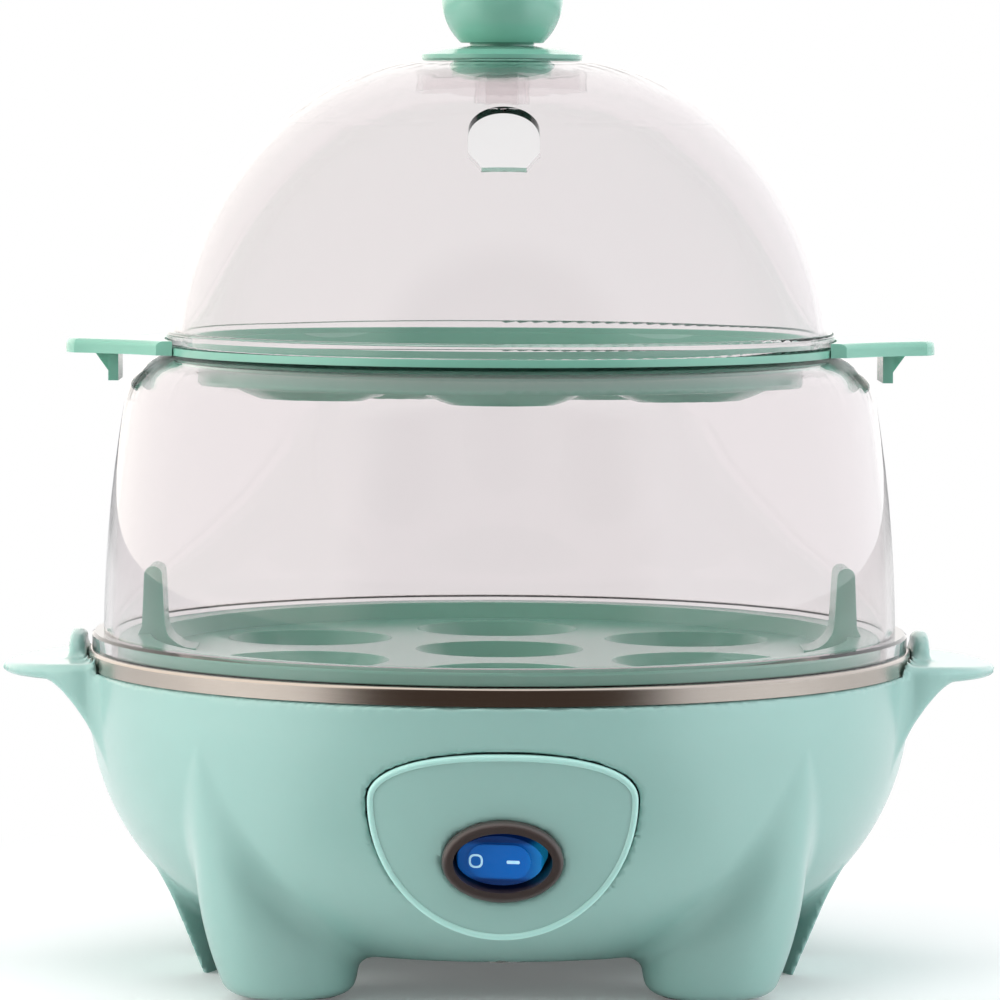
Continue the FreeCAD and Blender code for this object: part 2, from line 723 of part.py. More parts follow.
COVER_HEAD_RADIUS = 2.2
COVER_HEAD_HEIGHT = 0.9
SLOTS_PER_SIDE = 3
SLOT_PITCH = 8.0
SLOT_LENGTH = 34.0
SLOT_WIDTH = 2.4
UNDER_COVER = 6.0
cover_tools = []
cover_screws = []
head_seat = size.belly_height + 1.2
for number, azimuth in enumerate(LEG_AZIMUTHS):
    x, y, _ = polar(size.cover_screw_circle, azimuth)
    cover_tools.append(rod(f"cover_hole_{number}", size.cover_screw_radius + 0.15, 6.0,
                           (x, y, UNDER_COVER)))
    cover_tools.append(rod(f"cover_sink_{number}", COVER_HEAD_RADIUS + 0.1, head_seat - UNDER_COVER,
                           (x, y, UNDER_COVER)))
    cover_screws.append(joined(f"cover_screw_{number}", [
        rod(f"cover_screw_head_{number}", COVER_HEAD_RADIUS, COVER_HEAD_HEIGHT,
            (x, y, head_seat - COVER_HEAD_HEIGHT)),
        rod(f"cover_screw_shank_{number}", size.cover_screw_radius, 9.0, (x, y, head_seat))]))
for number in range(-SLOTS_PER_SIDE, SLOTS_PER_SIDE + 1):
    if number:
        cover_tools.append(block(f"cover_vent_{number + SLOTS_PER_SIDE}", SLOT_LENGTH, SLOT_WIDTH, 6.0,
                                 (-SLOT_LENGTH / 2, number * SLOT_PITCH - SLOT_WIDTH / 2, UNDER_COVER)))
keep("bottom_cover", without("cover_plate_cut", rod("cover_plate", size.cover_plate_radius,
                                                    size.cover_plate_thickness,
                                                    (0, 0, size.belly_height)), cover_tools))
keep("cover_screws", group_of("cover_screw_group", cover_screws))

pads = []
for number, azimuth in enumerate(LEG_AZIMUTHS):
    x, y, _ = polar(size.leg_spread_radius, azimuth)
    pads.append(rod(f"pad_{number}", size.foot_pad_radius, size.foot_pad_height, (x, y, 0)))
keep("foot_pads", group_of("pad_group", pads))


# ---------------------------------------------------------------- switch panel and switch

lean = math.radians(float(size.panel_lean))
face_radius_at_switch = (float(size.panel_face_radius)
                         - (float(size.panel_top) - float(size.switch_height)) * math.tan(lean))
switch_frame_turn = Rotation(Vector(1, 0, 0), 90 + float(size.panel_lean))
switch_place = Placement(Vector(0, -face_radius_at_switch, float(size.switch_height)), switch_frame_turn)


def oval(length, height, low, high):
    """An oval prism in the switch's own frame, where z points out of the panel."""
    rim = Part.Ellipse(Vector(0, 0, low), length / 2, height / 2)
    return Part.Face(Part.Wire([rim.toShape()])).extrude(Vector(0, 0, high - low))


def in_panel(shape):
    """Carry a shape from the switch's own frame to its place in the panel."""
    placed = shape.copy()
    placed.Placement = switch_place.multiply(placed.Placement)
    return placed


def panel_face_solid(inset):
    """Everything inside the panel's face: a cone about the vertical axis."""
    top, bottom = 75.0, 5.0

    def radius_at(height):
        return (float(size.panel_face_radius) - inset
                - (float(size.panel_top) - height) * math.tan(lean))
    return Part.makeCone(radius_at(bottom), radius_at(top), top - bottom, Vector(0, 0, bottom))


SEAT_DEPTH = 0.95
FACE_ROUND = 1.1
DISH_CLEARANCE_RADIUS = 81.0
DISH_CLEARANCE_FROM = 43.0


def switch_panel_shape():
    wall = float(size.panel_wall)
    skin = panel_prism(0.0).common(panel_face_solid(0.0))
    front_edges = []
    for edge in skin.Edges:
        box = edge.BoundBox
        if box.YMax < -78 and box.YMin > -95 and edge.Length > 12:
            front_edges.append(edge)
    skin = skin.makeFillet(FACE_ROUND, front_edges)
    inside = panel_prism(-wall).common(panel_face_solid(wall))
    shell = skin.cut(inside)
    shell = shell.cut(upright(68.0, 0, 80))
    shell = shell.cut(upright(DISH_CLEARANCE_RADIUS, DISH_CLEARANCE_FROM, 80))
    bezel = (float(size.bezel_length), float(size.bezel_height))
    shell = shell.cut(in_panel(oval(bezel[0] + 0.2, bezel[1] + 0.2, -SEAT_DEPTH, 10)))
    return shell.cut(in_panel(oval(bezel[0] - 2, bezel[1] - 2, -20, 10)))


keep_shape("switch_panel", switch_panel_shape())

BODY_DEPTH = 19.0
CAVITY_DEPTH = 13.0
PIVOT_DEPTH = 5.0
BEZEL_STAND = 1.7
KEY_HALF_LENGTH = 6.5
KEY_HALF_HEIGHT = 3.55
KEY_THICKNESS = 1.2
TERMINAL_SPREAD = 7.0
TERMINAL_LENGTH = 8.0


def switch_frame_shape():
    length, height = float(size.bezel_length), float(size.bezel_height)
    flange = oval(length, height, -SEAT_DEPTH, BEZEL_STAND)
    rim = [edge for edge in flange.Edges if edge.CenterOfMass.z > BEZEL_STAND - 0.1]
    flange = flange.makeFillet(1.4, rim)
    body = flange.fuse(oval(length - 2.2, height - 2.2, -BODY_DEPTH, 0))
    opening = oval(float(size.bezel_opening_length), float(size.bezel_opening_height), -CAVITY_DEPTH, 5)
    return in_panel(body.cut(opening).removeSplitter())


def rocker_shape():
    length, height = float(size.rocker_length), float(size.rocker_height)
    button = oval(length, height, -9.0, -0.7)
    drum = Part.makeCylinder(9.6, 20, Vector(0, 10, -PIVOT_DEPTH), Vector(0, -1, 0))
    button = button.common(drum)
    straight = KEY_HALF_LENGTH - KEY_HALF_HEIGHT
    key = Part.makeBox(2 * straight, 2 * KEY_HALF_HEIGHT, KEY_THICKNESS,
                       Vector(-straight, -KEY_HALF_HEIGHT, -1.0))
    for side in (-1, 1):
        key = key.fuse(Part.makeCylinder(KEY_HALF_HEIGHT, KEY_THICKNESS, Vector(side * straight, 0, -1.0)))
    key = key.removeSplitter()
    button = button.fuse(key)
    button.rotate(Vector(0, 0, -PIVOT_DEPTH), Vector(0, 1, 0), -float(size.rocker_rest_tilt))
    return in_panel(button)


keep_shape("switch_frame", switch_frame_shape())
keep_shape("switch_rocker", rocker_shape())

blades = []
for spot in (-TERMINAL_SPREAD, 0.0, TERMINAL_SPREAD):
    corner = Vector(spot - BLADE_THICKNESS / 2, -BLADE_WIDTH / 2, -BODY_DEPTH - TERMINAL_LENGTH)
    blades.append(in_panel(Part.makeBox(BLADE_THICKNESS, BLADE_WIDTH, TERMINAL_LENGTH, corner)))
keep_shape("switch_terminals", Part.makeCompound(blades))
LAMP_RADIUS, LAMP_LENGTH = 1.1, 8.0
lamp = Part.makeCylinder(LAMP_RADIUS, LAMP_LENGTH,
                         Vector(-LAMP_LENGTH / 2, 0, LAMP_RADIUS - CAVITY_DEPTH), Vector(1, 0, 0))
keep_shape("switch_lamp", in_panel(lamp))


# ---------------------------------------------------------------- cord gland and inner wiring

gland_base = size.gland_seat
keep("cord_gland", without("gland_bored", joined("gland_blank", [
    rod("gland_flange", 7.5, 3.0, (0, gland_base, size.gland_height), ALONG_Y),
    rod("gland_neck", GLAND_NECK_RADIUS, GLAND_NECK_LENGTH,
        (0, gland_base - GLAND_NECK_LENGTH, size.gland_height), ALONG_Y)]),
    [rod("gland_bore", size.cord_radius, 20.0, (0, gland_base - 14.0, size.gland_height), ALONG_Y)]))


def rounded_path(points, radius):
    """Straight runs through the points, joined by tangent arcs."""
    edges, start = [], points[0]
    for before, corner, after in zip(points, points[1:], points[2:]):
        back, ahead = (before - corner).normalize(), (after - corner).normalize()
        half_angle = back.getAngle(ahead) / 2
        setback = radius / math.tan(half_angle)
        first, last = corner + back * setback, corner + ahead * setback
        bisector = (back + ahead).normalize()
        middle = corner + bisector * (radius / math.sin(half_angle) - radius)
        edges.append(Part.LineSegment(start, first).toShape())
        edges.append(Part.Arc(first, middle, last).toShape())
        start = last
    edges.append(Part.LineSegment(start, points[-1]).toShape())
    return Part.Wire(edges)


WIRE_RADIUS = 1.2
WIRE_BEND = 6.0
WIRE_GAP = 0.3


def wire(label, points):
    path = rounded_path([Vector(*point) for point in points], WIRE_BEND)
    start = path.Edges[0]
    circle = Part.Circle(start.Vertexes[0].Point, start.tangentAt(start.FirstParameter), WIRE_RADIUS)
    keep_shape(label, path.makePipeShell([Part.Wire([circle.toShape()])], True, True))


def blade_tip(spot):
    """Where a wire's end meets a blade of the switch."""
    return tuple(switch_place.multVec(Vector(spot, 0, -BODY_DEPTH - TERMINAL_LENGTH - WIRE_GAP)))


pin_bottom = float(element_height) - PIN_LENGTH
blade_end = float(blade_bottom)
lead_height = float(fuse_height)
gland_inside = float(size.gland_seat) - GLAND_NECK_LENGTH - WIRE_GAP
entry_height = float(size.gland_height)
left_tip, right_tip = blade_tip(-TERMINAL_SPREAD), blade_tip(TERMINAL_SPREAD)
right_pin, left_pin = (polar(float(size.element_ring_radius), azimuth)[:2] for azimuth in PIN_AZIMUTHS)

wire("live_wire", [(-1.6, gland_inside, entry_height), (-1.6, 59.0, entry_height), (-16.0, 50.5, 26.0),
                   (-38.0, 30.0, 30.0), (-34.0, -28.0, 30.0), (left_tip[0], -50.0, left_tip[2]),
                   left_tip])
wire("neutral_wire", [(1.6, gland_inside, entry_height), (1.6, 59.0, entry_height), (12.0, 53.0, 22.0),
                      (*right_pin, pin_bottom - 12.0), (*right_pin, pin_bottom)])
wire("switched_wire", [right_tip, (right_tip[0], -50.0, right_tip[2]), (8.0, -32.0, 24.0),
                       (-2.0, -14.0, 19.0), (-BLADE_SPREAD, 0.0, 16.0), (-BLADE_SPREAD, 0.0, blade_end)])
wire("fuse_wire", [(BLADE_SPREAD, 0.0, blade_end), (BLADE_SPREAD, 0.0, 17.0), (20.0, 8.0, 22.0),
                   (25.0, FUSE_Y, 34.0), (LEAD_REACH + 10, FUSE_Y, lead_height),
                   (LEAD_REACH, FUSE_Y, lead_height)])
wire("element_wire", [(-LEAD_REACH, FUSE_Y, lead_height), (-LEAD_REACH - 10, FUSE_Y, lead_height),
                      (-26.0, 30.0, 30.0), (*left_pin, pin_bottom - 13.0), (*left_pin, pin_bottom)])


# ---------------------------------------------------------------- trays

def tray(name, blank, floor, wells, mouth, sphere, drain):
    """Sink a round cup for each egg through a tray's floor, with a drain hole in its bottom."""
    centre_height = floor + (sphere * sphere - mouth * mouth).root()
    outer, inner = [], []
    for number, (x, y) in enumerate(wells):
        outer.append(ball(f"{name}_cup_{number}", sphere + size.tray_thickness, (x, y, centre_height)))
        inner.append(ball(f"{name}_seat_{number}", sphere, (x, y, centre_height)))
        inner.append(rod(f"{name}_drain_{number}", drain, 40.0, (x, y, floor - 40.0)))
    lid = rod(f"{name}_sky", 120.0, 120.0, (0, 0, floor))
    cups = without(f"{name}_cups", joined(f"{name}_balls", outer), [lid])
    return without(f"{name}_sunk", joined(f"{name}_whole", [blank, cups]), inner)


lower_floor_under = size.lower_floor - size.tray_thickness
lower_blank = turned("lower_tray_blank", [
    (0, lower_floor_under),
    (size.lower_tray_radius - 8.4, lower_floor_under),
    (size.lower_tray_radius - 5.8, size.plate_top),
    (size.lower_tray_radius, size.plate_top),
    (size.lower_tray_radius, size.lower_tray_top),
    (size.lower_tray_radius - 7.2, size.lower_tray_top),
    (size.lower_tray_radius - 8.8, size.lower_floor),
    (0, size.lower_floor),
])
soften(lower_blank, [(size.lower_tray_radius, size.lower_tray_top)], 0.8)
lower_wells = [(0, 0)] + [polar(size.lower_well_circle, 60 * i - 90)[:2] for i in range(6)]
lower_sunk = tray("lower", lower_blank, size.lower_floor, lower_wells,
                  size.lower_well_mouth, size.lower_well_sphere, size.lower_well_drain)


def finger_post(name, side):
    """An upright finger grip with a flared foot and a small ledge that reaches inwards."""
    def at(x):
        return side * x
    outline = [Vector(at(75.5), 0, 69.0), Vector(at(77.6), 0, 70.9), Vector(at(80.5), 0, 70.9),
               Vector(at(78.3), 0, 75.5), Vector(at(77.8), 0, 87.0), Vector(at(75.8), 0, 88.7),
               Vector(at(73.9), 0, 87.0), Vector(at(73.3), 0, 76.0), Vector(at(71.6), 0, 72.4),
               Vector(at(66.5), 0, 70.6), Vector(at(66.5), 0, 69.0)]
    edges = polyline(outline[:4])
    edges += [Part.LineSegment(outline[3], outline[4]).toShape(),
              Part.Arc(outline[4], outline[5], outline[6]).toShape(),
              Part.LineSegment(outline[6], outline[7]).toShape(),
              Part.Arc(outline[7], outline[8], outline[9]).toShape(),
              Part.LineSegment(outline[9], outline[10]).toShape(),
              Part.LineSegment(outline[10], outline[0]).toShape()]
    half_width = 7.0
    solid = flat_face(edges).extrude(Vector(0, 2 * half_width, 0))
    solid.translate(Vector(0, -half_width, 0))
    post = doc.addObject("Part::Feature", name)
    post.Shape = solid
    return post


keep("lower_tray", joined("lower_tray_join", [lower_sunk, finger_post("lower_grip_left", -1),
                                              finger_post("lower_grip_right", 1)]))

ring_bottom = size.cover_top
skirt_inner = size.upper_skirt_radius - size.tray_thickness
upper_blank = turned("upper_tray_blank", [
    (0, size.upper_floor - size.tray_thickness),
    (size.upper_skirt_radius, size.upper_floor - size.tray_thickness),
    (size.upper_skirt_radius, ring_bottom),
    (size.upper_ring_radius, ring_bottom),
    (size.upper_ring_radius, size.upper_ring_top),
    (size.upper_ring_radius - 5.2, size.upper_ring_top),
    (size.upper_ring_radius - 5.2, size.upper_ring_top + 1.6),
    (size.upper_ring_radius - 6.8, size.upper_ring_top + 1.6),
    (size.upper_ring_radius - 6.8, size.upper_ring_top),
    (skirt_inner, size.upper_ring_top),
    (skirt_inner, size.upper_floor),
    (0, size.upper_floor),
])
soften(upper_blank, [(size.upper_skirt_radius, size.upper_floor - size.tray_thickness)], 1.2)
upper_wells = [polar(size.upper_well_circle, 72 * i - 90)[:2] for i in range(5)]
upper_sunk = tray("upper", upper_blank, size.upper_floor, upper_wells,
                  size.upper_well_mouth, size.upper_well_sphere, size.upper_well_drain)


def tab_shape():
    """The +X tab of the upper tray with the small hook under it."""
    root, reach = 71.0, float(size.tab_reach)
    low = float(size.tab_top) - float(size.tab_thickness)
    plan = [Vector(root, -22, low), Vector(74.5, -21, low), Vector(reach - 2.2, -7, low),
            Vector(reach, 0, low), Vector(reach - 2.2, 7, low), Vector(74.5, 21, low),
            Vector(root, 22, low)]
    waist = [Vector(84.5, -11.5, low), Vector(84.5, 11.5, low)]
    edges = [Part.LineSegment(plan[0], plan[1]).toShape(),
             Part.Arc(plan[1], waist[0], plan[2]).toShape(),
             Part.Arc(plan[2], plan[3], plan[4]).toShape(),
             Part.Arc(plan[4], waist[1], plan[5]).toShape(),
             Part.LineSegment(plan[5], plan[6]).toShape(),
             Part.LineSegment(plan[6], plan[0]).toShape()]
    leaf = flat_face(edges).extrude(Vector(0, 0, float(size.tab_thickness)))
    leaf = leaf.cut(upright(float(size.upper_ring_radius) - 2.0, 130, 145))
    leaf = leaf.cut(upright(float(size.dome_lip_radius) + 0.5, float(size.upper_ring_top), 145))
    tips = [edge for edge in leaf.Edges if edge.BoundBox.ZMin > low + 3 and edge.BoundBox.XMax > 80]
    leaf = leaf.makeFillet(1.2, tips)
    hook = Part.makeBox(2.2, 16, 6.4, Vector(83.4, -8, low - 6.0))
    heel = Vector(85.4, -1.2, low)
    slope = flat_face(polyline([heel, Vector(89.0, -1.2, low), Vector(85.4, -1.2, low - 5.0), heel]))
    slope = slope.extrude(Vector(0, 2.4, 0))
    return leaf.fuse([hook, slope])


tabs = []
for number, shape in enumerate(both_sides(tab_shape())):
    tab = doc.addObject("Part::Feature", f"upper_tab_{number}")
    tab.Shape = shape
    tabs.append(tab)
keep("upper_tray", joined("upper_tray_join", [upper_sunk] + tabs))


# ---------------------------------------------------------------- clear covers

def bell_outline(inset):
    """The lower cover's bell, drawn inside its outer skin by inset, closed on the axis."""
    side_arc = size.cover_side_arc - inset
    shoulder = size.cover_shoulder_radius - inset
    # the side arc is upright at the flange and runs into the shoulder arc
    side_centre = size.cover_foot_radius - size.cover_side_arc
    shoulder_height = size.cover_top - size.cover_shoulder_radius
    climb = shoulder_height - size.plate_top
    gap = size.cover_side_arc - size.cover_shoulder_radius
    shoulder_r = side_centre + (gap * gap - climb * climb).root()
    scale = side_arc / gap
    join_r = side_centre + (shoulder_r - side_centre) * scale
    join_z = size.plate_top + climb * scale
    return [
        (0, size.plate_top),
        (size.cover_foot_radius - inset, size.plate_top, side_arc, "left"),
        (join_r, join_z, shoulder, "left"),
        (shoulder_r, size.cover_top - inset),
        (0, size.cover_top - inset),
    ]


lower_cover_bell = turned("lower_cover_bell", bell_outline(0), [
    bell_outline(size.cover_wall),
    [(0, size.cover_top - 10), (size.cover_opening_radius, size.cover_top - 10),
     (size.cover_opening_radius, size.cover_top + 10), (0, size.cover_top + 10)],
])
lower_cover_flange = turned("lower_cover_flange", [
    (size.cover_foot_radius - 1.0, size.plate_top),
    (size.cover_flange_radius, size.plate_top),
    (size.cover_flange_radius, size.cover_flange_top - 0.6),
    (size.cover_flange_radius - 0.6, size.cover_flange_top),
    (size.cover_foot_radius - 1.0, size.cover_flange_top),
])
keep("lower_cover", joined("lower_cover_join", [lower_cover_bell, lower_cover_flange]))


def dome_outline(inset, floor):
    """The dome's three arcs, drawn inside the outer skin by inset, closed on the axis."""
    side, shoulder, crown = (float(size.dome_radius), float(size.dome_shoulder_radius),
                             float(size.dome_crown_radius))
    side_z = float(size.dome_centre_height)
    crown_z = float(size.dome_top) - crown
    near, far = side - shoulder, crown - shoulder
    # the shoulder arc's centre lies near from the side's centre and far from the crown's
    spacing = side_z - crown_z
    along = (far**2 - near**2 + spacing**2) / (2 * spacing)
    middle = Vector(math.sqrt(far**2 - along**2), 0, crown_z + along)

    def point(centre, radius, direction):
        return centre + Vector(direction).normalize() * radius

    side_centre, crown_centre = Vector(0, 0, side_z), Vector(0, 0, crown_z)
    side_r, shoulder_r, crown_r = side - inset, shoulder - inset, crown - inset
    start = Vector(math.sqrt(side_r**2 - (floor - side_z)**2), 0, floor)
    first = point(side_centre, side_r, middle - side_centre)
    second = point(crown_centre, crown_r, middle - crown_centre)
    apex = Vector(0, 0, float(size.dome_top) - inset)
    between = point(middle, shoulder_r, (first - middle).normalize() + (second - middle).normalize())
    low_way = (start - side_centre).normalize() + (first - side_centre).normalize()
    low_mid = point(side_centre, side_r, low_way)
    top_mid = point(crown_centre, crown_r, (second - crown_centre).normalize() + Vector(0, 0, 1))
    return [Part.LineSegment(Vector(0, 0, floor), start).toShape(),
            Part.Arc(start, low_mid, first).toShape(),
            Part.Arc(first, between, second).toShape(),
            Part.Arc(second, top_mid, apex).toShape(),
            Part.LineSegment(apex, Vector(0, 0, floor)).toShape()]


VENT_ELEVATION = 45


def vent_tool():
    """The steam vent: an arch, round at the top, flat at the bottom with cut corners."""
    half, length = float(size.vent_width) / 2, float(size.vent_length)
    top = length / 2
    arch = top - half
    bottom, flat, corner = -length / 2, 4.7, 4.2
    edges = polyline([Vector(half, arch, 0), Vector(half, bottom + corner, 0), Vector(flat, bottom, 0),
                      Vector(-flat, bottom, 0), Vector(-half, bottom + corner, 0),
                      Vector(-half, arch, 0)])
    edges.append(Part.Arc(Vector(-half, arch, 0), Vector(0, top, 0), Vector(half, arch, 0)).toShape())
    tool = flat_face(edges).extrude(Vector(0, 0, 24))
    tool.translate(Vector(0, 0, -12))
    reach = float(size.dome_radius)
    slant = math.radians(VENT_ELEVATION)
    spot = Vector(0, -reach * math.cos(slant),
                  float(size.dome_centre_height) + reach * math.sin(slant))
    tool.Placement = Placement(spot, Rotation(Vector(1, 0, 0), VENT_ELEVATION)).multiply(tool.Placement)
    return tool


BOSS_RADIUS, BOSS_BOTTOM = 6.0, 190.0
INTO_ROOF = 199.5
RIB_RADIUS, RIB_WALL, RIB_BOTTOM = 18.7, 1.4, 193.0
HEAD_RADIUS, HEAD_SEAT = 3.4, 198.0
SHANK_RADIUS = 1.75


def dome_shape():
    wall, lip_bottom = float(size.dome_wall), float(size.upper_ring_top)
    lip_top, lip_radius = float(size.dome_lip_top), float(size.dome_lip_radius)
    shell = turned_shape(dome_outline(0.0, lip_bottom + 0.5))
    shell = shell.fuse(upright(lip_radius, lip_bottom, lip_top))
    lip_rims = [edge for edge in shell.Edges
                if abs(edge.BoundBox.XMax - lip_radius) < 0.05 and edge.BoundBox.ZLength < 0.01]
    shell = shell.makeFillet(0.6, lip_rims)
    shell = shell.cut(turned_shape(dome_outline(wall, lip_bottom - 1.0)))
    ring = upright(RIB_RADIUS, RIB_BOTTOM, INTO_ROOF).cut(
        upright(RIB_RADIUS - RIB_WALL, RIB_BOTTOM - 1, INTO_ROOF + 1))
    shell = shell.fuse([ring, upright(BOSS_RADIUS, BOSS_BOTTOM, INTO_ROOF)])
    shell = shell.cut(upright(SHANK_RADIUS + 0.15, 180, 210))
    shell = shell.cut(upright(HEAD_RADIUS + 0.2, 180, HEAD_SEAT))
    return shell.cut(vent_tool())


keep_shape("dome_lid", dome_shape())

crown = size.dome_crown_radius
flange_foot = (size.dome_top - crown
               + (crown * crown - size.knob_flange_radius * size.knob_flange_radius).root())
NECK_JOIN_RADIUS = 9.0
neck_top = (size.knob_ball_height
            - (size.knob_ball_radius * size.knob_ball_radius - NECK_JOIN_RADIUS**2).root())
knob = turned("lid_knob_body", [
    (0, size.dome_top, crown, "right"),
    (size.knob_flange_radius, flange_foot),
    (size.knob_flange_radius, flange_foot + 0.9),
    (size.knob_flange_radius - 4.0, size.dome_top + 0.7),
    (size.knob_neck_radius + 0.8, size.dome_top + 1.5, 3.0, "left"),
    (size.knob_neck_radius + 0.1, size.dome_top + 3.4, 4.0, "left"),
    (NECK_JOIN_RADIUS, neck_top, size.knob_ball_radius, "left"),
    (0, size.knob_ball_height + size.knob_ball_radius),
], [[(0, 190), (SHANK_RADIUS, 190), (SHANK_RADIUS, size.knob_ball_height),
     (0, size.knob_ball_height)]])
keep("lid_knob", knob)
keep("knob_screw", joined("knob_screw_join", [
    rod("knob_screw_head", HEAD_RADIUS, 1.8, (0, 0, HEAD_SEAT - 1.8)),
    rod("knob_screw_shank", SHANK_RADIUS, 14.0, (0, 0, HEAD_SEAT))]))
keep("knob_washer", without("knob_washer_cut", rod("knob_washer_disc", 10.9, 1.7, (0, 0, 196.8)),
                            [rod("knob_washer_bore", BOSS_RADIUS, 5.0, (0, 0, 195.0))]))


# ---------------------------------------------------------------- checks and export

doc.recompute()
for thing in doc.Objects:
    if "Invalid" in thing.State or "Error" in thing.State:
        raise RuntimeError(f"{thing.Name} failed: {thing.State}")
os.makedirs("parts", exist_ok=True)
for label, thing in pieces.items():
    shape = thing.Shape
    if shape.isNull() or not shape.isValid() or not shape.Solids:
        raise RuntimeError(f"{label} has no sound shape")
    shape.exportStep(f"parts/{label}.step")
    print(f"{label}: {len(shape.Solids)} solid(s), {shape.Volume / 1000:.2f} cm3")
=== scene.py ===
import math

import bmesh
import bpy
import numpy as np
from bpy.props import FloatProperty, FloatVectorProperty, PointerProperty
from mathutils import Matrix, Vector


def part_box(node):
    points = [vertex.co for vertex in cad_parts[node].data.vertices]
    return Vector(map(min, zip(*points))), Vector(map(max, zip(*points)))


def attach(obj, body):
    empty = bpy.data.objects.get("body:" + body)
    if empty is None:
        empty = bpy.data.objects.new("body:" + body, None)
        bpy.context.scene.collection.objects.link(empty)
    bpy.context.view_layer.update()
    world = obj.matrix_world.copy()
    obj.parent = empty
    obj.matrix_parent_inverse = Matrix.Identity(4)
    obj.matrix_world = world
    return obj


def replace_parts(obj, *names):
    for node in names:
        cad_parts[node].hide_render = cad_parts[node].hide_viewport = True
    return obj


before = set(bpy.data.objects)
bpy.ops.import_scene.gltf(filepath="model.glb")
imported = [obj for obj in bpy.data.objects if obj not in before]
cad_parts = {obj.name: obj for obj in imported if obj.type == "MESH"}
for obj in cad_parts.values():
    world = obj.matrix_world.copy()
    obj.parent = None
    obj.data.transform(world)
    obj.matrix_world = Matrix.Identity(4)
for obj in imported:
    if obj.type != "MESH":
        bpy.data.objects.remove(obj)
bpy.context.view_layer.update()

bl_info = {
    "name": "Egg Cooker",
    "version": (1, 0, 0),
    "blender": (4, 5, 0),
    "location": "View3D > Sidebar > Egg Cooker",
    "description": "Two-tier steam egg cooker with clear covers, built around its construction model",
    "category": "Object",
}

MM = 0.001
SWITCH_HEIGHT = 35.1 * MM
PANEL_REACH = 90.9 * MM
PANEL_LEAN = math.radians(6)


def rgb(red, green, blue):
    """A colour written as 0 to 255 display values, in the linear values that shaders use."""
    def linear(value):
        value /= 255
        return value / 12.92 if value <= 0.04045 else ((value + 0.055) / 1.055) ** 2.4
    return (linear(red), linear(green), linear(blue))


# ---------------------------------------------------------------- settings

class CookerColours(bpy.types.PropertyGroup):
    housing: FloatVectorProperty(
        name="Housing", description="Moulded plastic of the base and the switch panel",
        default=rgb(147, 187, 180), subtype="COLOR", min=0, max=1)
    tray: FloatVectorProperty(
        name="Trays and knob", description="Moulded plastic of the egg trays and the knob",
        default=rgb(124, 182, 163), subtype="COLOR", min=0, max=1)
    steel: FloatVectorProperty(
        name="Steel", description="Brushed heating plate",
        default=rgb(184, 175, 167), subtype="COLOR", min=0, max=1)
    clear: FloatVectorProperty(
        name="Covers", description="Clear plastic of the lower cover and the dome",
        default=rgb(243, 239, 240), subtype="COLOR", min=0, max=1)
    rocker: FloatVectorProperty(
        name="Rocker", description="Translucent switch rocker",
        default=rgb(0, 88, 168), subtype="COLOR", min=0, max=1)
    bezel: FloatVectorProperty(
        name="Switch frame", description="Dark frame round the rocker",
        default=rgb(62, 52, 50), subtype="COLOR", min=0, max=1)


class CookerSizes(bpy.types.PropertyGroup):
    grid: FloatProperty(
        name="Housing grid", description="Spacing of the grid that the housing is cut from",
        default=1.0 * MM, unit="LENGTH", min=0.5 * MM, max=4 * MM)
    leg_blend: FloatProperty(
        name="Leg blend", description="Radius of the hollow between the bowl and each leg",
        default=4 * MM, unit="LENGTH", min=0, max=20 * MM)
    mark_stroke: FloatProperty(
        name="Mark stroke", description="Width of the lines printed on the rocker",
        default=0.42 * MM, unit="LENGTH", min=0.1 * MM, max=2 * MM)
    camera_distance: FloatProperty(
        name="Camera distance", description="From the middle of the cooker to the camera",
        default=1.174, unit="LENGTH", min=0.3, max=5)


# ---------------------------------------------------------------- materials

class Field:
    """The output of a shader node, which can be used in Python sums."""

    def __init__(self, finish, socket):
        self.finish = finish
        self.socket = socket

    def math(self, operation, *others):
        return self.finish.node("ShaderNodeMath", {"operation": operation},
                                dict(enumerate((self, *others))))

    def __add__(self, other):
        return self.math("ADD", other)

    def __sub__(self, other):
        return self.math("SUBTRACT", other)

    def __mul__(self, other):
        return self.math("MULTIPLY", other)

    def __truediv__(self, other):
        return self.math("DIVIDE", other)

    def __rsub__(self, other):
        return self.finish.node("ShaderNodeMath", {"operation": "SUBTRACT"}, {0: other, 1: self})

    __radd__ = __add__
    __rmul__ = __mul__

    def clamped(self):
        return self.finish.node("ShaderNodeClamp", {}, {0: self})


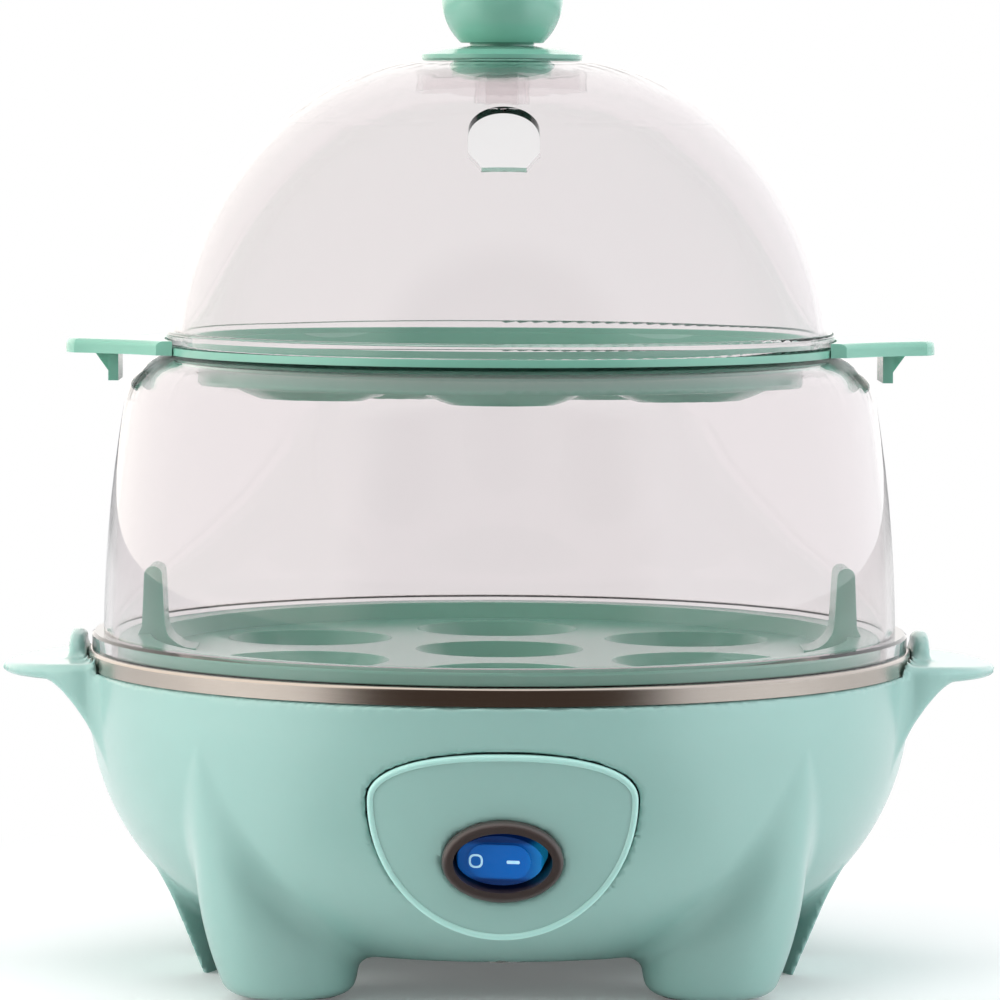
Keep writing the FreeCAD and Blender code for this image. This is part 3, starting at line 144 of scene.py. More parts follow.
class Finish:
    """A material, or the world, and the nodes that give its look."""

    def __init__(self, owner, output="ShaderNodeOutputMaterial"):
        owner.use_nodes = True
        self.owner = owner
        self.tree = owner.node_tree
        self.tree.nodes.clear()
        self.end = self.tree.nodes.new(output)

    def node(self, kind, settings, inputs, output=0):
        made = self.tree.nodes.new(kind)
        for key, value in settings.items():
            setattr(made, key, value)
        for key, value in inputs.items():
            if isinstance(value, Field):
                self.tree.links.new(value.socket, made.inputs[key])
            else:
                made.inputs[key].default_value = value
        return Field(self, made.outputs[output])

    def place(self):
        """The point on the object, in metres in the cooker's own frame."""
        return self.node("ShaderNodeTexCoord", {}, {}, "Object")

    def noise(self, scale, detail=3, vector=None, roughness=0.5):
        return self.node("ShaderNodeTexNoise", {}, {
            "Vector": vector or self.place(), "Scale": scale, "Detail": detail,
            "Roughness": roughness})

    def mix(self, factor, first, second):
        """A colour between two others."""
        return self.node("ShaderNodeMix", {"data_type": "RGBA"},
                         {0: factor, 6: as_rgba(first), 7: as_rgba(second)}, 2)

    def bump(self, height, strength, distance):
        return self.node("ShaderNodeBump", {}, {
            "Height": height, "Strength": strength, "Distance": distance})

    def principled(self, **inputs):
        named = {key.replace("_", " "): value for key, value in inputs.items()}
        return self.node("ShaderNodeBsdfPrincipled", {}, named)

    def surface(self, shader):
        self.tree.links.new(shader.socket, self.end.inputs["Surface"])
        return self.owner


def as_rgba(colour):
    return colour if isinstance(colour, Field) or len(colour) == 4 else (*colour, 1)


def shaded(colour, factor):
    """The same colour, darker or lighter."""
    return tuple(min(channel * factor, 1.0) for channel in colour)


def new_finish(name):
    return Finish(bpy.data.materials.new(name))


def moulded_plastic(name, colour, gloss=0.3, coat=0.6):
    """Moulded plastic: a faint cloudiness in the colour and a fine skin like orange peel."""
    finish = new_finish(name)
    cloud = finish.noise(28, 3)
    speck = finish.noise(900, 2)
    peel = finish.noise(420, 3)
    base = finish.mix(cloud, shaded(colour, 0.95), shaded(colour, 1.05))
    skin = finish.principled(
        Base_Color=base, Roughness=gloss - 0.03 + speck * 0.07,
        Coat_Weight=coat, Coat_Roughness=0.16, IOR=1.56,
        Subsurface_Weight=0.12, Subsurface_Radius=(0.4, 1.0, 0.9), Subsurface_Scale=0.002,
        Normal=finish.bump(peel, 0.06, 0.0003))
    return finish.surface(skin)


def brushed_steel(name, colour):
    """Spun steel: fine lines that run round the axis, with streaks and a warm cast."""
    finish = new_finish(name)
    place = finish.place()
    apart = finish.node("ShaderNodeSeparateXYZ", {}, {0: place})
    x = Field(finish, apart.socket.node.outputs[0])
    y = Field(finish, apart.socket.node.outputs[1])
    z = Field(finish, apart.socket.node.outputs[2])
    turn = y.math("ARCTAN2", x)
    reach = (x * x + y * y).math("SQRT")
    rings = finish.node("ShaderNodeCombineXYZ", {}, {0: turn * 0.6, 1: reach * 900, 2: z * 900})
    lines = finish.noise(2.4, 4, rings, 0.7)
    bands = finish.node("ShaderNodeCombineXYZ", {}, {0: turn * 1.4, 1: reach * 60, 2: z * 60})
    broad = finish.noise(1.2, 2, bands)
    base = finish.mix(broad, shaded(colour, 0.86), shaded(colour, 1.04))
    skin = finish.principled(
        Base_Color=base, Metallic=1.0, Roughness=0.14 + lines * 0.14,
        Normal=finish.bump(lines, 0.15, 0.0001))
    return finish.surface(skin)


def clear_plastic(name, colour):
    """Clear moulded plastic that lets light through to what it covers."""
    finish = new_finish(name)
    ripple = finish.noise(26, 2)
    skin = finish.principled(
        Base_Color=as_rgba(colour), Roughness=0.02, IOR=1.46, Transmission_Weight=1.0,
        Normal=finish.bump(ripple, 0.05, 0.001))
    veil = finish.node("ShaderNodeBsdfTransparent", {}, {"Color": as_rgba(shaded(colour, 0.97))})
    shadow = finish.node("ShaderNodeLightPath", {}, {}, "Is Shadow Ray")
    both = finish.node("ShaderNodeMixShader", {}, {0: shadow, 1: skin, 2: veil})
    return finish.surface(both)


def satin_metal(name, colour, roughness=0.32):
    finish = new_finish(name)
    wear = finish.noise(160, 4)
    skin = finish.principled(
        Base_Color=finish.mix(wear, shaded(colour, 0.85), shaded(colour, 1.05)), Metallic=1.0,
        Roughness=roughness - 0.06 + wear * 0.14, Normal=finish.bump(finish.noise(1500, 2), 0.08, 0.0001))
    return finish.surface(skin)


def soft_rubber(name, colour):
    finish = new_finish(name)
    dust = finish.noise(300, 4)
    skin = finish.principled(
        Base_Color=finish.mix(dust, shaded(colour, 0.8), shaded(colour, 1.25)),
        Roughness=0.62 + dust * 0.15, Normal=finish.bump(finish.noise(1800, 2), 0.2, 0.0002))
    return finish.surface(skin)


def rocker_painted_light(name, colour):
    """Translucent blue plastic with painted light: a painted lit band across the key, painted shade at its
    top and bottom, a painted highlight at its raised right end and a faint painted glow.
    """
    finish = new_finish(name)
    x = finish.node("ShaderNodeSeparateXYZ", {}, {0: finish.place()})
    height = Field(finish, x.socket.node.outputs[2])
    cloud = finish.noise(220, 2)
    # Painted lit band: full colour across the middle of the key, painted shade towards its top and bottom
    # edges.
    painted_lit_band = finish.node("ShaderNodeMapRange", {"interpolation_type": "SMOOTHSTEP"}, {
        0: (height - SWITCH_HEIGHT).math("ABSOLUTE"), 1: 3.0 * MM, 2: 4.2 * MM, 3: 1.0, 4: 0.15})
    # Painted highlight on the key's raised right end.
    far = finish.node("ShaderNodeMapRange", {}, {0: x, 1: 4.5 * MM, 2: 8.0 * MM, 3: 0.0, 4: 1.0})
    # Base colour with painted shade: a darkened copy of the blue outside the lit band.
    body = finish.mix(painted_lit_band * (0.85 + cloud * 0.3), shaded(colour, 0.25), colour)
    # Emission as a painted glow, dark blue outside the lit band and bright cyan as a painted highlight at
    # the right end.
    painted_glow = finish.mix(far * painted_lit_band, finish.mix(painted_lit_band, rgb(0, 20, 90), colour), rgb(30, 160, 215))
    skin = finish.principled(
        Base_Color=body, Roughness=0.2 + cloud * 0.06,
        Coat_Weight=0.35, Coat_Roughness=0.08, Emission_Color=painted_glow, Emission_Strength=0.3,
        Normal=finish.bump(finish.noise(500, 2), 0.05, 0.0002))
    return finish.surface(skin)


def paint(node, material):
    """Give a carried-over construction node its finish."""
    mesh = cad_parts[node].data
    mesh.materials.clear()
    mesh.materials.append(material)


# ---------------------------------------------------------------- meshes

def new_object(name, mesh, body, material):
    piece = bpy.data.objects.new(name, mesh)
    bpy.context.scene.collection.objects.link(piece)
    mesh.materials.append(material)
    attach(piece, body)
    return piece


def round_union(first, second, radius):
    """The union of two distance fields with a hollow of this radius along their seam."""
    corner = np.hypot(np.maximum(radius - first, 0), np.maximum(radius - second, 0))
    return np.maximum(radius, np.minimum(first, second)) - corner


def round_common(first, second, radius):
    """What two distance fields share, with its edges rounded by this radius."""
    return -round_union(-first, -second, radius)


def surface_net(field, low, high, step):
    """A quad mesh where a distance field is zero, inside a box."""
    counts = [int(math.ceil((b - a) / step)) + 1 for a, b in zip(low, high)]
    axes = [a + step * np.arange(n) for a, n in zip(low, counts)]
    values = np.empty(counts, np.float32)
    for i, x in enumerate(axes[0]):
        yy, zz = np.meshgrid(axes[1], axes[2], indexing="ij")
        values[i] = field(np.full_like(yy, x), yy, zz)
    inside = values < 0
    cells = tuple(n - 1 for n in counts)
    corners = [(i, j, k) for i in (0, 1) for j in (0, 1) for k in (0, 1)]

    def corner_block(grid, corner):
        return grid[tuple(slice(c, c + n) for c, n in zip(corner, cells))]

    total = sum(corner_block(inside, corner).astype(np.int8) for corner in corners)
    active = (total > 0) & (total < 8)
    index = np.full(cells, -1, np.int64)
    index[active] = np.arange(int(active.sum()))
    where = np.argwhere(active)
    points = np.zeros((len(where), 3))
    hits = np.zeros(len(where))
    for a in corners:
        for axis in range(3):
            if a[axis]:
                continue
            b = tuple(1 if n == axis else c for n, c in enumerate(a))
            va = corner_block(values, a)[active].astype(float)
            vb = corner_block(values, b)[active].astype(float)
            crossing = (va < 0) != (vb < 0)
            share = np.where(crossing, va / np.where(crossing, va - vb, 1), 0)
            spot = np.array(a, float)[None, :].repeat(len(where), 0)
            spot[:, axis] += share
            points[crossing] += spot[crossing]
            hits[crossing] += 1
    points = (points / hits[:, None] + where) * step + np.array([a[0] for a in axes])
    quads = []
    for axis in range(3):
        u, v = (axis + 1) % 3, (axis + 2) % 3
        span = [slice(1, n) for n in cells]
        span[axis] = slice(0, cells[axis])
        ahead = list(span)
        ahead[axis] = slice(1, cells[axis] + 1)
        near, far = inside[tuple(span)], inside[tuple(ahead)]
        edge = np.argwhere(near != far)
        edge_cell = edge.copy()
        edge_cell[:, u] += 1
        edge_cell[:, v] += 1
        loop = []
        for du, dv in ((0, 0), (-1, 0), (-1, -1), (0, -1)):
            cell = edge_cell.copy()
            cell[:, u] += du
            cell[:, v] += dv
            loop.append(index[tuple(cell.T)])
        quad = np.stack(loop, 1)
        flip = far[tuple(edge.T)]
        quad[flip] = quad[flip][:, ::-1]
        quads.append(quad)
    quads = np.concatenate(quads)
    for _ in range(3):
        points = towards_surface(field, points, step)
    return points, quads


def towards_surface(field, points, step):
    """Move points along the field's slope until they lie where it is zero."""
    reach = step * 0.25
    value = field(*points.T)
    slope = np.stack([
        (field(*(points + offset).T) - field(*(points - offset).T)) / (2 * reach)
        for offset in np.eye(3) * reach], 1)
    size = np.maximum((slope**2).sum(1), 0.05)
    move = slope * (value / size)[:, None]
    length = np.linalg.norm(move, axis=1)
    limit = np.minimum(1, 0.6 * step / np.maximum(length, 1e-9))
    return points - move * limit[:, None]


def mesh_from(name, points, faces):
    mesh = bpy.data.meshes.new(name)
    mesh.from_pydata(points.tolist(), [], faces.tolist())
    mesh.validate()
    mesh.polygons.foreach_set("use_smooth", np.ones(len(mesh.polygons), bool))
    mesh.update()
    return mesh


def closed_tube(path, radius, around=12):
    """Points and faces of a round bead that follows a closed line."""
    ahead = np.roll(path, -1, axis=0) - np.roll(path, 1, axis=0)
    ahead /= np.linalg.norm(ahead, axis=1)[:, None]
    out = path * (1, 1, 0) / np.linalg.norm(path[:, :2], axis=1)[:, None]
    side = np.cross(ahead, out)
    side /= np.linalg.norm(side, axis=1)[:, None]
    out = np.cross(side, ahead)
    turn = np.arange(around) * 2 * math.pi / around
    rings = (path[:, None] + radius * (np.cos(turn)[None, :, None] * side[:, None]
                                       + np.sin(turn)[None, :, None] * out[:, None]))
    steps = len(path)
    quads = [(i * around + j, i * around + (j + 1) % around,
              (i + 1) % steps * around + (j + 1) % around, (i + 1) % steps * around + j)
             for i in range(steps) for j in range(around)]
    return rings.reshape(-1, 3), np.array(quads)


# ---------------------------------------------------------------- housing

class Housing:
    """Distance fields, in millimetres, of the moulded base housing."""

    def __init__(self, settings):
        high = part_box("base_housing")[1]
        plate_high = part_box("heating_plate")[1]
        panel_low, panel_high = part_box("switch_panel")
        self.reach = high.x / MM
        self.post_top = high.z / MM
        self.rim = plate_high.x / MM
        self.plate_under = plate_high.z / MM - 0.8
        self.top = self.plate_under - 3.3
        self.side = self.rim - 0.1
        self.leg_spread = 59.0
        self.leg_blend = settings.leg_blend / MM
        self.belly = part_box("bottom_cover")[0].z / MM
        self.panel_half = panel_high.x / MM
        self.panel_top = panel_high.z / MM
        self.panel_bottom = panel_low.z / MM
        self.panel_widest, self.panel_power = 47.2, 2.25
        self.panel_reach, self.panel_lean = PANEL_REACH / MM, PANEL_LEAN
        self.front_only = 60.0
        self.gland_height, self.gland_radius, self.gland_seat = 24.0, 9.5, 77.5
        self.gland_bore, self.gland_depth = 4.9, 40.0

    def bowl(self, x, y, z):
        """Upright at the rim, then one arc down to the flat belly."""
        arc_radius, arc_height = 54.8, 60.0
        centre = self.side - arc_radius
        reach = np.hypot(x, y)
        below = np.hypot(np.maximum(reach - centre, 0), z - arc_height) - arc_radius
        wall = np.where(z < arc_height, below, reach - self.side)
        return round_common(wall, self.belly - z, 1.5)

    def leg(self, x, y, z):
        """One teardrop, folded to all four corners, that leans out along the bowl."""
        lean = math.radians(30)
        ball, middle, flank = 14.8, 9.0, 88.0
        along = (np.abs(x) + np.abs(y)) * math.sqrt(0.5)
        across = (np.abs(x) - np.abs(y)) * math.sqrt(0.5)
        out = along - self.leg_spread
        up = out * math.sin(lean) + z * math.cos(lean)
        aside = np.hypot(out * math.cos(lean) - z * math.sin(lean), across)
        low = np.hypot(aside, up - middle) - ball
        high = np.hypot(aside + flank - ball, up - middle) - flank
        return round_common(np.where(up < middle, low, high), 0.8 - z, 2.6)

    def handle(self, x, y, z):
        """An ear on each side: thick where it leaves the bowl and thin at its round tip."""
        root, half_width = 85.0, 25.0
        out = np.abs(x)
        length = self.reach - root
        plan = (np.hypot((out - root) / length, y / half_width) - 1) * length
        share = np.clip((out - root) / length, 0, 1)
        upper = z - (self.post_top - 5.6 - 1.6 * share**2)
        gusset = 0.33 * np.maximum(98.5 - out, 0) ** 1.5
        under = (self.post_top - 9.4 + 0.2 * share - gusset) - z
        return round_common(round_common(upper, under, 1.2), plan, 1.4)

    def post(self, x, y, z):
        """The upright clip post beside the rim, with a round top."""
        out = np.abs(np.abs(x) - (self.rim + 2.3)) - 1.7
        arch = np.maximum(np.hypot(y * 0.62, np.maximum(z - (self.post_top - 5.6), 0)) - 5.6, 65.5 - z)
        return round_common(out, arch, 1.1)

    def shield(self, x, y, z, grow):
        """The opening for the switch panel, grown by a gap."""
        half = self.panel_half + grow
        above = z > self.panel_widest
        power = np.where(above, self.panel_power, 2.0)
        rise = self.panel_top + grow - self.panel_widest
        drop = self.panel_widest - self.panel_bottom + grow
        tall = np.where(above, rise, drop)
        across, along = np.abs(x) / half, np.abs(z - self.panel_widest) / tall
        share = (across**power + along**power) ** (1 / power)
        slope = np.hypot(across ** (power - 1) / half, along ** (power - 1) / tall)
        steep = np.maximum(share, 0.2) ** (power - 1) / np.maximum(slope, 1e-3)
        return np.maximum((share - 1) * steep, y + self.front_only)

    def panel_radius(self, z):
        """How far the leaning panel face stands from the middle at one height."""
        return self.panel_reach - (self.panel_top - z) * math.tan(self.panel_lean)

    def panel(self, x, y, z):
        """The switch panel: a leaning face with a skirt, open for the switch."""
        wall, sink, edge = 2.4, 0.45, 0.5
        face = (np.hypot(x, y) - self.panel_radius(z)) * math.cos(self.panel_lean)
        outline = self.shield(x, y, z, 0)
        plate = round_common(outline, face + sink, edge)
        shell = np.maximum(plate, -np.maximum(outline + wall, face + wall))
        skirt_high, skirt_low, step_height = 81.0, 68.0, 43.0
        skirt = np.where(z > step_height, skirt_high, skirt_low)
        shell = np.maximum(shell, skirt - np.hypot(x, y))
        hole_half, hole_rise = 12.4, 8.45
        up = (z - SWITCH_HEIGHT / MM) / math.cos(self.panel_lean)
        hole = (np.hypot(x / hole_half, up / hole_rise) - 1) * hole_rise
        return np.maximum(shell, -np.maximum(hole, y + self.front_only))

    def panel_edge(self, inset, steps):
        """The line the panel's raised rim follows, a little inside its outline."""
        turn = np.linspace(0, 2 * math.pi, steps, endpoint=False)
        across, along = np.cos(turn), np.sin(turn)
        share = np.where(along > 0, 2 / self.panel_power, 1.0)
        x = (self.panel_half - inset) * np.sign(across) * np.abs(across) ** share
        tall = np.where(along > 0, self.panel_top - self.panel_widest, self.panel_widest - self.panel_bottom)
        z = self.panel_widest + (tall - inset) * np.sign(along) * np.abs(along) ** share
        reach = self.panel_radius(z) - inset
        return np.stack([x, -np.sqrt(reach**2 - x**2), z], axis=1)

    def gland_boss(self, x, y, z):
        """The round boss at the back that the cord gland sits in."""
        disc = np.hypot(x, z - self.gland_height) - self.gland_radius
        return np.maximum(disc, np.maximum(y - self.gland_seat, self.gland_depth - y))

    def field(self, x, y, z):
        """The whole moulding: a hollow shell with its lip, ledge, sockets and openings."""
        wall, panel_gap, boss_blend, handle_blend, post_blend = 2.5, 0.35, 2.0, 3.0, 1.2
        reach = np.hypot(x, y)
        from_gland = np.hypot(x, z - self.gland_height)
        legged = round_union(self.bowl(x, y, z), self.leg(x, y, z), self.leg_blend)
        legged = round_union(legged, self.gland_boss(x, y, z), boss_blend)
        gland_face = np.maximum(from_gland - self.gland_radius, self.gland_seat - y)
        legged = np.maximum(legged, -gland_face)
        outside = round_union(legged, self.handle(x, y, z), handle_blend)
        rim_gap = 0.4
        outside = np.maximum(outside, np.minimum(z - self.top, self.rim + rim_gap - reach))
        outside = round_union(outside, self.post(x, y, z), post_blend)
        shell = np.maximum(outside, -(legged + wall))
        lip_reach, lip_half, lip_drop, lip_rise = 87.6, 1.2, 4.0, 3.9
        lip_height = np.abs(z - (self.plate_under - lip_drop)) - lip_rise
        shell = np.minimum(shell, np.maximum(np.abs(reach - lip_reach) - lip_half, lip_height))
        shell = np.maximum(shell, -self.shield(x, y, z, panel_gap))
        ledge_reach, ledge_half, ledge_rise = 43.2, 4.1, 2.3
        ledge_height = np.abs(z - (self.belly + ledge_rise)) - ledge_rise
        shell = np.minimum(shell, np.maximum(np.abs(reach - ledge_reach) - ledge_half, ledge_height))
        cover_radius, cover_depth, opening_radius = 44.6, 2.1, 39.0
        seat = np.maximum(reach - cover_radius, z - (self.belly + cover_depth))
        shell = np.maximum(shell, -np.minimum(seat, reach - opening_radius))
        pad_radius, pad_depth = 7.25, 2.8
        pads = np.hypot((np.abs(x) + np.abs(y)) * math.sqrt(0.5) - self.leg_spread,
                        (np.abs(x) - np.abs(y)) * math.sqrt(0.5)) - pad_radius
        shell = np.maximum(shell, -np.maximum(pads, z - pad_depth))
        screw_spread, screw_radius, screw_top = 52.0, 3.7, 11.0
        screws = np.hypot(np.maximum(np.abs(x), np.abs(y)) - screw_spread,
                          np.minimum(np.abs(x), np.abs(y))) - screw_radius
        shell = np.maximum(shell, -np.maximum(screws, z - screw_top))
        return np.maximum(shell, -np.maximum(from_gland - self.gland_bore, self.gland_depth - y))


def piece_from_field(name, node, field, step, material):
    """Cut one moulded piece from its distance field and put it in place of its node."""
    margin = 1.5
    low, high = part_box(node)
    low = [value / MM - margin for value in low]
    high = [value / MM + margin for value in high]
    points, quads = surface_net(field, low, high, step / MM)
    mesh = mesh_from(name, points * MM, quads)
    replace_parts(new_object(name, mesh, "base", material), node)


class COOKER_OT_housing(bpy.types.Operator):
    """Model the housing with its legs and handles blended into the bowl"""
    bl_idname = "cooker.housing"
    bl_label = "Base housing"

    def execute(self, context):
        sizes, colour = context.scene.cooker_sizes, tuple(context.scene.cooker_colours.housing)
        shape = Housing(sizes)
        material = moulded_plastic("aqua_plastic", colour)
        piece_from_field("housing_skin", "base_housing", shape.field, sizes.grid, material)
        paint("bottom_cover", material)
        piece_from_field("panel_face", "switch_panel", shape.panel, sizes.grid, material)
        # The bead is a lighter copy of the housing plastic: a painted highlight along the panel's rim.
        bead, turns = 0.75, 240
        points, quads = closed_tube(shape.panel_edge(bead, turns), bead)
        new_object("panel_bead", mesh_from("panel_bead", points * MM, quads), "base",
                   moulded_plastic("panel_rim_painted_highlight", shaded(colour, 1.45)))
        return {"FINISHED"}


# ---------------------------------------------------------------- carried-over pieces

class COOKER_OT_heating(bpy.types.Operator):
    """Finish the heating plate and the parts under it"""
    bl_idname = "cooker.heating"
    bl_label = "Heating plate"

    def execute(self, context):
        colours = context.scene.cooker_colours
        paint("heating_plate", brushed_steel("spun_steel", tuple(colours.steel)))
        paint("element_spreader", satin_metal("cast_aluminium", rgb(186, 188, 190), 0.45))
        paint("heating_element", satin_metal("element_sheath", rgb(96, 92, 88), 0.4))
        pressed = satin_metal("pressed_metal", rgb(176, 176, 172))
        for node in ("thermostat", "thermostat_bracket", "fuse_clip", "thermal_fuse"):
            paint(node, pressed)
        plated = satin_metal("plated_steel", rgb(170, 170, 168), 0.28)
        for node in ("bracket_screws", "plate_studs", "plate_screws", "cover_screws"):
            paint(node, plated)
        brown = soft_rubber("brown_sleeve", rgb(92, 52, 34))
        for node in ("live_wire", "switched_wire", "fuse_wire", "element_wire"):
            paint(node, brown)
        paint("neutral_wire", soft_rubber("blue_sleeve", rgb(40, 84, 150)))
        rubber = soft_rubber("black_rubber", rgb(34, 34, 35))
        paint("foot_pads", rubber)
        paint("cord_gland", rubber)
        return {"FINISHED"}


def key_turn():
    """The rocker's own frame at rest: x along the rocker, z out of its key, in metres."""
    tilt, depth = math.radians(-8), 5 * MM
    panel_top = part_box("switch_panel")[1].z
    reach = PANEL_REACH - (panel_top - SWITCH_HEIGHT) * math.tan(PANEL_LEAN)
    face = Matrix.Translation((0, -reach, SWITCH_HEIGHT))
    pivot = Matrix.Translation((0, 0, -depth))
    return (face @ Matrix.Rotation(math.radians(90) + PANEL_LEAN, 4, "X")
            @ pivot @ Matrix.Rotation(tilt, 4, "Y") @ pivot.inverted())


def print_marks(stroke):
    """The ring for off and the bar for on, as thin ink on the rocker's key."""
    ink = new_finish("white_ink_painted_glow")
    wear = ink.noise(900, 3)
    skin = ink.principled(
        Base_Color=ink.mix(wear, rgb(150, 205, 235), rgb(205, 235, 250)), Roughness=0.5 + wear * 0.1,
        # The emission is a painted glow on the printed ink.
        Emission_Color=ink.mix(wear, rgb(120, 190, 230), rgb(150, 215, 245)), Emission_Strength=0.25)
    material = ink.surface(skin)
    turn = key_turn()
    top, ink_height = 0.2 * MM, 0.06 * MM
    steps, radius, squareness = 48, 1.45 * MM, 2.6
    ring_place, bar_place = -4.8 * MM, 2.9 * MM
    rings = []
    for reach, height in ((radius, top), (radius, top + ink_height),
                          (radius - stroke, top + ink_height), (radius - stroke, top)):
        ring = []
        for i in range(steps):
            angle = 2 * math.pi * i / steps
            across, up = math.cos(angle), math.sin(angle)
            square = (abs(across) ** squareness + abs(up) ** squareness) ** (-1 / squareness)
            ring.append(turn @ Vector((reach * square * across + ring_place,
                                       reach * square * up, height)))
        rings.append(ring)
    points = [point for ring in rings for point in ring]
    faces = [(a * steps + i, a * steps + (i + 1) % steps,
              (a + 1) % 4 * steps + (i + 1) % steps, (a + 1) % 4 * steps + i)
             for a in range(4) for i in range(steps)]
    ring_mesh = bpy.data.meshes.new("off_ring")
    ring_mesh.from_pydata(points, [], faces)
    new_object("off_ring", ring_mesh, "switch_rocker", material)
    half, tall = 1.35 * MM, stroke * 0.8
    bar = bmesh.new()
    spot = Matrix.Translation((bar_place, 0, top + ink_height / 2))
    size = Matrix.Diagonal((2 * half, 2 * tall, ink_height, 1))
    bmesh.ops.create_cube(bar, size=1.0, matrix=turn @ spot @ size)
    short_edges = [edge for edge in bar.edges if edge.calc_length() < ink_height * 1.1]
    bmesh.ops.bevel(bar, geom=short_edges, offset=tall * 0.35, segments=2, affect="EDGES")
    bar_mesh = bpy.data.meshes.new("on_bar")
    bar.to_mesh(bar_mesh)
    bar.free()
    new_object("on_bar", bar_mesh, "switch_rocker", material)


class COOKER_OT_switch(bpy.types.Operator):
    """Finish the switch and print its two marks"""
    bl_idname = "cooker.switch"
    bl_label = "Switch"

    def execute(self, context):
        colours = context.scene.cooker_colours
        paint("switch_frame", moulded_plastic("black_plastic", tuple(colours.bezel), 0.35, 0.2))
        paint("switch_rocker", rocker_painted_light("rocker_plastic_painted_light", tuple(colours.rocker)))
        paint("switch_terminals", satin_metal("terminal_brass", rgb(196, 168, 96)))
        paint("switch_lamp", clear_plastic("lamp_glass", rgb(230, 240, 255)))
        print_marks(context.scene.cooker_sizes.mark_stroke)
        return {"FINISHED"}


class COOKER_OT_trays(bpy.types.Operator):
    """Finish the two egg trays and the knob"""
    bl_idname = "cooker.trays"
    bl_label = "Trays and knob"

    def execute(self, context):
        material = moulded_plastic("mint_plastic", tuple(context.scene.cooker_colours.tray), 0.24, 0.4)
        for node in ("lower_tray", "upper_tray", "lid_knob", "knob_washer"):
            paint(node, material)
        paint("knob_screw", bpy.data.materials["plated_steel"])
        return {"FINISHED"}


class COOKER_OT_covers(bpy.types.Operator):
    """Finish the clear lower cover and the dome"""
    bl_idname = "cooker.covers"
    bl_label = "Clear covers"

    def execute(self, context):
        material = clear_plastic("clear_cover", tuple(context.scene.cooker_colours.clear))
        paint("lower_cover", material)
        paint("dome_lid", material)
        return {"FINISHED"}


# ---------------------------------------------------------------- stage

def area_lamp(name, place, target, width, height, power, colour=(1, 1, 1)):
    data = bpy.data.lights.new(name, "AREA")
    data.shape = "RECTANGLE"
    data.size, data.size_y = width, height
    data.energy = power
    data.color = colour
    lamp = bpy.data.objects.new(name, data)
    lamp.location = place
    lamp.rotation_euler = (Vector(target) - Vector(place)).to_track_quat("-Z", "Y").to_euler()
    lamp.visible_glossy = lamp.visible_camera = lamp.visible_transmission = False
    bpy.context.scene.collection.objects.link(lamp)


BEHIND_CAMERA = rgb(82, 70, 62)
DARK_EDGE, BRIGHT_EDGE = -0.86, -0.62


def studio_world():
    """White to the camera and through the covers; what gloss mirrors is dark behind the camera."""
    world = bpy.data.worlds.new("studio")
    bpy.context.scene.world = world
    finish = Finish(world, "ShaderNodeOutputWorld")
    place = finish.node("ShaderNodeTexCoord", {}, {}, "Generated")
    apart = finish.node("ShaderNodeSeparateXYZ", {}, {0: place})
    x, y = apart, Field(finish, apart.socket.node.outputs[1])
    rear = finish.node("ShaderNodeMapRange", {"interpolation_type": "SMOOTHSTEP"},
                       {0: y, 1: DARK_EDGE, 2: BRIGHT_EDGE, 3: 0.0, 4: 1.0})
    side = finish.node("ShaderNodeMapRange", {}, {0: x, 1: -0.7, 2: 0.7, 3: 0.0, 4: 1.0})
    walls = finish.mix(side, (1.75, 1.66, 1.54), (1.3, 1.32, 1.36))
    mirrored = finish.mix(rear, BEHIND_CAMERA, walls)
    gloss = finish.node("ShaderNodeBackground", {}, {"Color": mirrored, "Strength": 1.0})
    soft = finish.node("ShaderNodeBackground", {}, {"Color": (0.95, 0.98, 1, 1), "Strength": 0.4})
    white = finish.node("ShaderNodeBackground", {}, {"Color": (1, 1, 1, 1), "Strength": 1.0})
    mirror = finish.node("ShaderNodeLightPath", {}, {}, "Is Glossy Ray")
    room = finish.node("ShaderNodeMixShader", {}, {0: mirror, 1: soft, 2: gloss})
    camera = finish.node("ShaderNodeLightPath", {}, {}, "Is Camera Ray")
    through = finish.node("ShaderNodeLightPath", {}, {}, "Is Transmission Ray")
    seen = (camera + through).clamped()
    finish.surface(finish.node("ShaderNodeMixShader", {}, {0: seen, 1: room, 2: white}))


